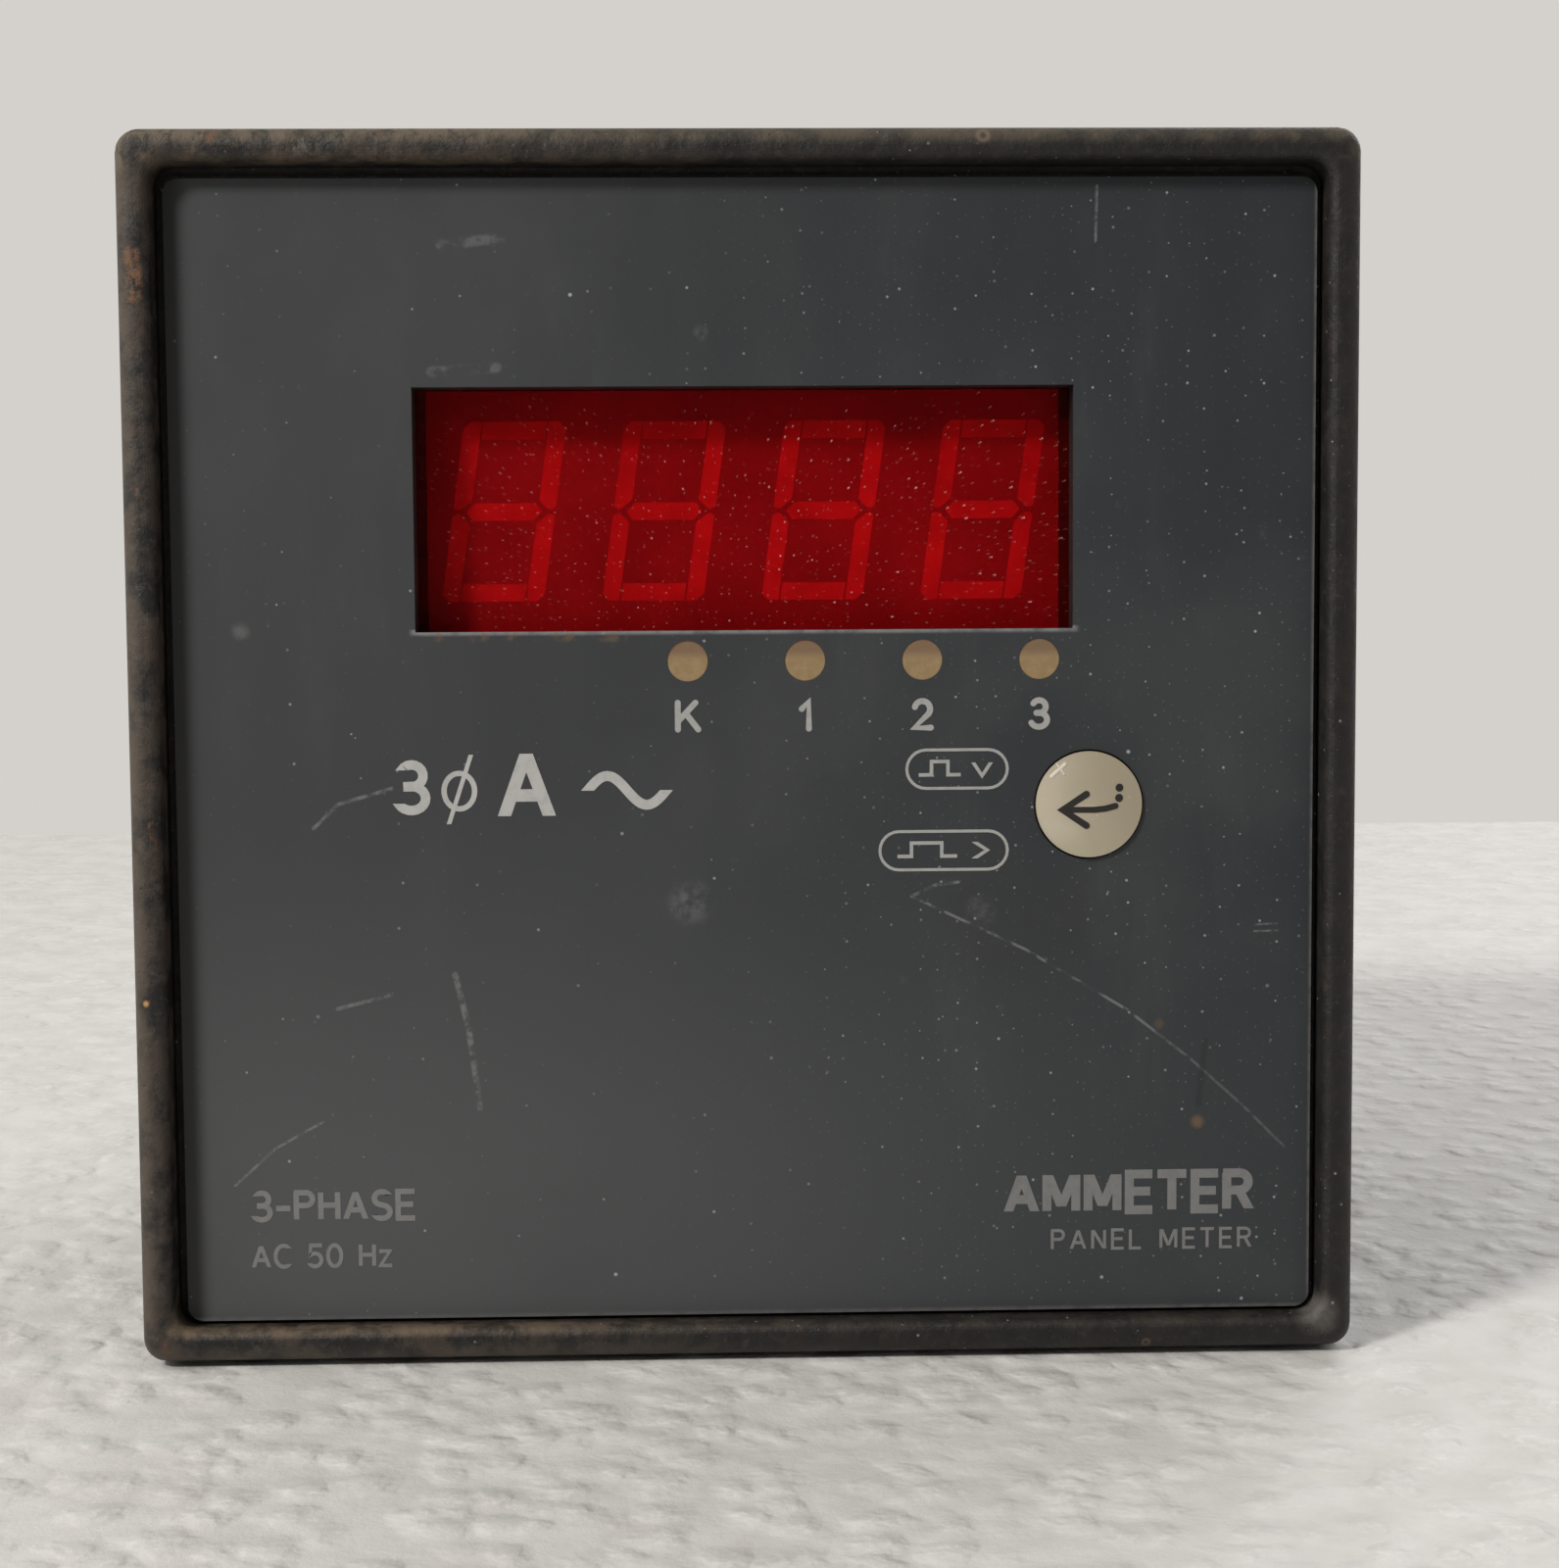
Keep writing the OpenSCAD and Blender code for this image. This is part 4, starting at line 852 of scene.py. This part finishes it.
def glyphs():
    """Stroke letters on a height of 1, each as a list of point lists."""
    bowl = [(0.0, 1.0), (0.36, 1.0)] + arc(0.36, 0.76, 0.24, 0.24, 90, -90, 10)[1:] + [(0.0, 0.52)]
    two = arc(0.32, 0.70, 0.29, 0.30, 165, -38, 14) + [(0.02, 0.0), (0.64, 0.0)]
    three = [
        arc(0.30, 0.76, 0.25, 0.24, 150, -90, 12) + [(0.2, 0.52)],
        [(0.2, 0.525)] + arc(0.29, 0.265, 0.31, 0.265, 88, -155, 14),
    ]
    five = [(0.56, 1.0), (0.12, 1.0), (0.06, 0.50)] + arc(0.30, 0.31, 0.30, 0.31, 128, -150, 14)
    four = [(0.48, 0.0), (0.48, 1.0), (0.0, 0.28), (0.66, 0.28)]
    six = arc(0.36, 0.64, 0.34, 0.36, 60, 180, 10) + arc(0.33, 0.31, 0.31, 0.31, 180, -180, 20)
    return {
        "A": [[(0.0, 0.0), (0.36, 1.0)], [(0.72, 0.0), (0.36, 1.0)], [(0.13, 0.33), (0.59, 0.33)]],
        "C": [arc(0.38, 0.5, 0.38, 0.5, 48, 312, 20)],
        "E": [[(0.54, 1.0), (0.0, 1.0), (0.0, 0.0), (0.54, 0.0)], [(0.0, 0.52), (0.48, 0.52)]],
        "H": [[(0.0, 0.0), (0.0, 1.0)], [(0.62, 0.0), (0.62, 1.0)], [(0.0, 0.52), (0.62, 0.52)]],
        "I": [[(0.0, 0.0), (0.0, 1.0)]],
        "K": [[(0.0, 0.0), (0.0, 1.0)], [(0.66, 1.0), (0.02, 0.32)], [(0.3, 0.6), (0.76, 0.0)]],
        "L": [[(0.0, 1.0), (0.0, 0.0), (0.5, 0.0)]],
        "M": [
            [(0.0, 0.0), (0.0, 1.0)],
            [(0.04, 1.0), (0.4, 0.12)],
            [(0.76, 1.0), (0.4, 0.12)],
            [(0.8, 0.0), (0.8, 1.0)],
        ],
        "N": [[(0.0, 0.0), (0.0, 1.0)], [(0.02, 1.0), (0.62, 0.0)], [(0.64, 0.0), (0.64, 1.0)]],
        "P": [[(0.0, 0.0), (0.0, 1.0)], bowl],
        "R": [[(0.0, 0.0), (0.0, 1.0)], bowl, [(0.34, 0.52), (0.62, 0.0)]],
        "S": [arc(0.31, 0.755, 0.28, 0.245, 35, 262, 14) + arc(0.30, 0.25, 0.30, 0.25, 82, -150, 14)],
        "T": [[(0.0, 1.0), (0.6, 1.0)], [(0.3, 1.0), (0.3, 0.0)]],
        "U": [[(0.0, 1.0)] + arc(0.31, 0.31, 0.31, 0.31, 180, 360, 12) + [(0.62, 1.0)]],
        "V": [[(0.0, 1.0), (0.34, 0.0), (0.68, 1.0)]],
        "Y": [[(0.0, 1.0), (0.33, 0.45), (0.66, 1.0)], [(0.33, 0.45), (0.33, 0.0)]],
        "z": [[(0.02, 0.68), (0.44, 0.68), (0.0, 0.0), (0.46, 0.0)]],
        "0": [arc(0.32, 0.5, 0.31, 0.5, 0, 360, 24)],
        "1": [[(0.0, 0.74), (0.26, 1.0), (0.26, 0.0)]],
        "2": [two],
        "3": three,
        "4": [four],
        "5": [five],
        "6": [six],
        "7": [[(0.0, 1.0), (0.6, 1.0), (0.2, 0.0)]],
        "8": [arc(0.32, 0.76, 0.25, 0.24, -90, 270, 18), arc(0.32, 0.26, 0.31, 0.26, 90, 450, 18)],
        "/": [[(0.0, -0.05), (0.36, 1.05)]],
        "-": [[(0.0, 0.42), (0.36, 0.42)]],
        " ": [],
    }


GLYPHS = glyphs()


def text_strokes(text, left, base, height, gap=0.26):
    """Strokes of a line of text in X and Z, and where the line ends."""
    strokes = []
    x, space = left, 0.3
    for letter in text:
        shape = GLYPHS[letter]
        for line in shape:
            strokes.append([(x + px * height, base + pz * height) for px, pz in line])
        wide = max((p[0] for line in shape for p in line), default=space)
        x += (wide + gap) * height
    return strokes, x - gap * height


def square_stroke(points, width):
    return points, width, False, False


def round_stroke(points, width):
    return points, width, False, True


def outline(points, width):
    return points, width, True, False


def print_piece(name, strokes, body, material, front, back, mirrored=False, surface=None):
    """One printed piece from strokes of (points, width, closed, round ends).

    mirrored is for print that is read from the rear.
    """
    bm = bmesh.new()
    for i, (points, width, closed, round_ends) in enumerate(strokes):
        if mirrored:
            points = [(-x, z) for x, z in points]
        depth = front + (i % 4) * CROSSING_STEP
        add_stroke(bm, points, width, depth, back, closed, round_ends, surface)
    finish_piece(name, bm, body, material)


def finish_piece(name, bm, body, material):
    bmesh.ops.recalc_face_normals(bm, faces=bm.faces)
    piece = mesh_object(name, bm, material)
    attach(piece, body)


def mesh_object(name, bm, material):
    """An object made of bm, which is freed."""
    mesh = bpy.data.meshes.new(name)
    bm.to_mesh(mesh)
    bm.free()
    mesh.materials.append(material)
    return add_object(name, mesh)


# ---------------- legends on the front


def stadium(x0, x1, z0, z1):
    """A closed outline with round ends."""
    r = (z1 - z0) / 2
    middle = (z0 + z1) / 2
    return arc(x1 - r, middle, r, r, 90, -90, 12) + arc(x0 + r, middle, r, r, 270, 90, 12)


def pulse(x, z, before, after, wide, height):
    """A square pulse: a short run, up, across, down and a short run."""
    up, down, top = x + before, x + before + wide, z + height
    return [(x, z), (up, z), (up, top), (down, top), (down, z), (down + after, z)]


def print_on_film(name, strokes, material):
    print_piece(name, strokes, "meter", material, FACE_Y - PRINT_T, FACE_Y + EMBED)


def dot_labels(material):
    """K, 1, 2 and 3, each in the middle below its dot."""
    spacing = (DOT_LAST - DOT_FIRST) / 3
    base, height, width = DOT_Z - 5.35 * MM, 2.1 * MM, 0.47 * MM
    strokes = []
    for i, letter in enumerate("K123"):
        lines, right = text_strokes(letter, 0, base, height)
        left = DOT_FIRST + i * spacing - right / 2
        strokes += [round_stroke([(x + left, z) for x, z in line], width) for line in lines]
    print_on_film("dot_labels", strokes, material)


def phase_legend(material):
    """Three-phase alternating current in amperes: 3, a slashed circle, A and a wave."""
    low = -5.0 * MM
    three, _ = text_strokes("3", -27.35 * MM, low + 0.45 * MM, 3.6 * MM)
    letter_a, _ = text_strokes("A", -19.05 * MM, low - 0.05 * MM, 4.9 * MM)

    phase_x, phase_z = -22.55 * MM, low + 1.95 * MM
    ring = arc(phase_x, phase_z, 1.2 * MM, 1.4 * MM, 0, 345, 28)
    slash = [(phase_x - 0.85 * MM, phase_z - 2.6 * MM), (phase_x + 0.95 * MM, phase_z + 2.85 * MM)]

    wave_x, wave_z = -12.5 * MM, -3.1 * MM
    length, swing, steps = 6.2 * MM, 1.15 * MM, 28
    wave = []
    for i in range(steps + 1):
        wave.append((wave_x + length * i / steps, wave_z + swing * math.sin(2 * math.pi * i / steps)))

    strokes = [square_stroke(line, 0.74 * MM) for line in three]
    strokes += [square_stroke(line, 0.98 * MM) for line in letter_a]
    strokes += [outline(ring, 0.42 * MM), square_stroke(slash, 0.34 * MM), square_stroke(wave, 0.78 * MM)]
    print_on_film("phase_legend", strokes, material)


def key_legends(material):
    """Two rounded boxes beside the key, each with a pulse and an arrowhead that points down or right."""
    thin = 0.23 * MM
    right = KEY.x - 6.45 * MM
    upper, lower = KEY.z + 2.87 * MM, KEY.z - 3.57 * MM
    half = 1.52 * MM
    boxes = [
        stadium(right - 7.95 * MM, right, upper - half, upper + half),
        stadium(right - 10.1 * MM, right, lower - half, lower + half),
    ]
    down = [(-2.7, 0.5), (-2.0, -0.55), (-1.3, 0.5)]
    ahead = [(-2.6, 0.65), (-1.6, 0.0), (-2.6, -0.65)]
    symbols = [
        pulse(right - 6.9 * MM, upper - 0.45 * MM, 0.9 * MM, 0.9 * MM, 1.3 * MM, 1.05 * MM),
        [(right + x * MM, upper + z * MM) for x, z in down],
        pulse(right - 8.6 * MM, lower - 0.45 * MM, 1.0 * MM, 1.1 * MM, 2.4 * MM, 1.05 * MM),
        [(right + x * MM, lower + z * MM) for x, z in ahead],
    ]
    strokes = [outline(box, thin) for box in boxes] + [square_stroke(line, thin * 1.2) for line in symbols]
    print_on_film("key_legends", strokes, material)


def foot_line(name, text, x, z, size, width, material, gap=0.3, from_right=False):
    """Text at the foot of the film, in millimetres, that starts at x or, with from_right, ends there."""
    strokes, right = text_strokes(text, x * MM, z * MM, size * MM, gap)
    shift = x * MM - right if from_right else 0
    moved = [[(px + shift, pz) for px, pz in stroke] for stroke in strokes]
    print_on_film(name, [square_stroke(stroke, width * MM) for stroke in moved], material)


def front_legends():
    pale = paint("legend_pale", rgb(0.46, 0.46, 0.45))
    fair = paint("legend_fair", rgb(0.38, 0.38, 0.37))
    soft = paint("legend_soft", rgb(0.20, 0.20, 0.20))
    dot_labels(fair)
    phase_legend(pale)
    key_legends(fair)
    foot_line("phase_line", "3-PHASE", -39.3, -37.0, 2.15, 0.44, soft)
    foot_line("supply_line", "AC 50 Hz", -39.4, -40.8, 1.7, 0.32, soft)
    foot_line("name_line", "AMMETER", 40.0, -37.1, 2.9, 0.72, soft, 0.34, from_right=True)
    foot_line("type_line", "PANEL METER", 40.1, -40.2, 1.5, 0.24, soft, 0.42, from_right=True)


def key_arrow():
    """The enter arrow printed on the domed key: a bent arrow and two dots."""
    ink = paint("key_ink", rgb(0.022, 0.02, 0.018))

    def dome(x, z):
        away = min(math.hypot(x - KEY.x, z - KEY.z), KEY_R)
        return DOME_R - math.sqrt(DOME_R**2 - away**2)

    def on_key(*places):
        return [(KEY.x + x * MM, KEY.z + z * MM) for x, z in places]

    head = on_key((-0.26, 0.83), (-2.13, -0.41), (-0.26, -1.66))
    shaft = on_key((-2.0, -0.41), (0.4, -0.41), (1.23, -0.33), (1.72, -0.21), (2.05, -0.12))
    strokes = [round_stroke(head, 0.54 * MM), round_stroke(shaft, 0.48 * MM)]
    # A dot is a very short stroke with round ends
    for x, z in ((2.33, 0.50), (2.36, 1.31)):
        strokes.append(round_stroke(on_key((x, z), (x + 0.01, z + 0.02)), 0.62 * MM))
    front, back = KEY_FRONT_Y - PRINT_T, KEY_FRONT_Y + EMBED
    print_piece("key_arrow", strokes, "key", ink, front, back, surface=dome)


# ---------------- print on the rear


def label_print():
    """Lines, ratings and a terminal plan on the rear label."""
    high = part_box("rear_label")[1]
    margin = 3.0 * MM
    half_w, half_h = high.x - margin, high.z - margin
    frame_line = [(-half_w, -half_h), (half_w, -half_h), (half_w, half_h), (-half_w, half_h)]
    strokes = [outline(frame_line, 0.3 * MM)]
    rules = (half_h - 7.5 * MM, half_h - 24.5 * MM)
    strokes += [square_stroke([(-half_w, z), (half_w, z)], 0.25 * MM) for z in rules]

    def write(text, x, z, size, width):
        lines, _ = text_strokes(text, x, z, size, 0.3)
        strokes.extend(square_stroke(line, width) for line in lines)

    indent = -half_w + margin
    write("PANEL AMMETER", indent, half_h - 5.4 * MM, 2.9 * MM, 0.5 * MM)
    for i, text in enumerate(("3-PHASE INPUT 5 A", "SUPPLY 230 V AC", "50/60 Hz  4 VA")):
        write(text, indent, half_h - (12.0 + 4.8 * i) * MM, 1.9 * MM, 0.3 * MM)

    # A plan of the terminals: a cell for each, with its number and its wire
    cell_w, cell_h, top = 6.5 * MM, 5.0 * MM, half_h - 28.5 * MM
    plan = ((indent + 1.0 * MM, 1, ("K1", "L1", "K2", "L2")), (4.0 * MM, 5, ("K3", "L3", "L", "N")))
    for left, first, wires in plan:
        for i, wire in enumerate(wires):
            z = top - (i + 1) * cell_h
            cell = [(left, z), (left + cell_w, z), (left + cell_w, z + cell_h), (left, z + cell_h)]
            strokes.append(outline(cell, 0.25 * MM))
            write(str(first + i), left + 2.6 * MM, z + 1.5 * MM, 2.0 * MM, 0.3 * MM)
            write(wire, left + cell_w + 1.8 * MM, z + 1.5 * MM, 2.0 * MM, 0.3 * MM)
    ink = paint("label_ink", rgb(0.03, 0.03, 0.032))
    front, back = LABEL_Y - EMBED, LABEL_Y + PRINT_T
    print_piece("label_print", strokes, "meter", ink, front, back, mirrored=True)


def terminal_numbers():
    """A number on the housing beside each terminal."""
    strokes = []
    for node, side, first in (("terminal_block_lower", -1, 1), ("terminal_block_upper", 1, 5)):
        low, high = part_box(node)
        inner = min(abs(low.x), abs(high.x))
        step = (high.z - low.z) / 4
        for i in range(4):
            x = side * (inner - 2.6 * MM) - 0.6 * MM
            z = high.z - (i + 0.5) * step - 1.1 * MM
            lines, _ = text_strokes(str(first + i), x, z, 2.2 * MM, 0.3)
            strokes += [round_stroke(line, 0.4 * MM) for line in lines]
    ink = paint("terminal_ink", rgb(0.52, 0.52, 0.50))
    front, back = BACK_Y - EMBED, BACK_Y + PRINT_T
    print_piece("terminal_numbers", strokes, "meter", ink, front, back, mirrored=True)


# ---------------- threads and worn edges

PITCH = 0.7 * MM


def clamp_thread(side):
    """The rolled right-hand thread on a clamp screw, from its shoulder to its head."""
    low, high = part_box("clamp_screw_" + side)
    gap, head_height = 0.2 * MM, 2.4 * MM
    shoulder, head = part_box("clamp_washer_" + side)[1].y + gap, high.y - head_height
    middle = (low + high) / 2
    root, crest = 1.9 * MM, 2.12 * MM
    profile = ((-0.42 * PITCH, root), (-0.1 * PITCH, crest), (0.1 * PITCH, crest), (0.42 * PITCH, root))
    half_turn = 10
    steps_per_turn = 2 * half_turn
    turns = (head - shoulder) / PITCH - 1
    count = int(turns * steps_per_turn)
    bm = bmesh.new()
    rings = []
    for i in range(count + 1):
        angle = 2 * math.pi * i / steps_per_turn
        y = head - PITCH / 2 - PITCH * i / steps_per_turn
        # The crest rises out of the shank over the first and the last half turn
        rise = min(1.0, i / half_turn, (count - i) / half_turn)
        ring = []
        for along, radius in profile:
            r = root + (radius - root) * rise
            ring.append(
                bm.verts.new((middle.x + r * math.cos(angle), y + along, middle.z + r * math.sin(angle)))
            )
        rings.append(ring)
    join_rings(bm, rings)
    steel = frame["nodes"]["clamp_screw_" + side].data.materials[0]
    finish_piece("clamp_thread_" + side, bm, side + "_screw", steel)


def soften_edges():
    """Small round edges on mouldings, clamp arms and screws, as moulds and tools leave them."""
    # Widths in millimetres
    widths = {
        "rear_housing": 0.35,
        "terminal_block_upper": 0.25,
        "terminal_block_lower": 0.25,
        "clamp_arm_upper": 0.2,
        "clamp_arm_lower": 0.2,
        "terminal_screws": 0.15,
        "clamp_screw_upper": 0.15,
        "clamp_screw_lower": 0.15,
    }
    for name, width in widths.items():
        node = frame["nodes"][name]
        weld = node.modifiers.new("weld", "WELD")
        weld.merge_threshold = 0.0005 * MM
        bevel = node.modifiers.new("edge", "BEVEL")
        bevel.width = width * MM
        bevel.segments = 2
        bevel.limit_method = "ANGLE"
        bevel.angle_limit = math.radians(50)
        bevel.use_clamp_overlap = True
        shading = node.modifiers.new("shading", "WEIGHTED_NORMAL")
        shading.weight = 100


# ---------------- stage


def make_floor():
    """A pale floor on which the meter rests with its bezel and the rear edge of its housing."""
    g = Graph("floor", Roughness=0.6)
    wobble = g.noise(6 * MM, 3, 0.6)
    shifted = g.add("ShaderNodeCombineXYZ", X=g.math("ADD", g.x, g.times(wobble, 6 * MM)), Y=g.y).outputs[0]
    beads = {"feature": "SMOOTH_F1"}
    bead = g.add("ShaderNodeTexVoronoi", beads, Vector=shifted, Scale=1 / (3.6 * MM), Smoothness=0.5)
    height = g.ramp(bead.outputs["Distance"], 0.75, 0.05)
    fine = g.noise(0.9 * MM, 4, 0.7)
    shade = g.mix(rgb(0.57, 0.56, 0.54), rgb(0.64, 0.635, 0.62), g.ramp(wobble, 0.3, 0.7))
    shade = g.mix(shade, rgb(0.74, 0.735, 0.72), g.times(height, g.ramp(fine, 0.45, 0.7), 0.8))
    grit = g.times(g.specks(9 * MM, 0.35 * MM, 0.3), 0.7)
    g.finish(Base_Color=g.mix(shade, rgb(0.12, 0.10, 0.08), grit))
    g.relief((height, 0.4 * MM), (fine, 0.1 * MM))
    slope = (RIM_HALF - HOUSING_HALF) / BACK_Y
    reach, behind = 0.9, 0.3
    corners = [(-reach, -reach), (reach, -reach), (reach, behind), (-reach, behind)]
    bm = bmesh.new()
    bm.faces.new([bm.verts.new((x, y, -RIM_HALF + slope * y)) for x, y in corners])
    floor = mesh_object("floor", bm, g.material)


# ---------------- the scene

make_camera()
make_lights()
dress_nodes()
front_legends()
key_arrow()
label_print()
terminal_numbers()
clamp_thread("upper")
clamp_thread("lower")
soften_edges()
make_floor()
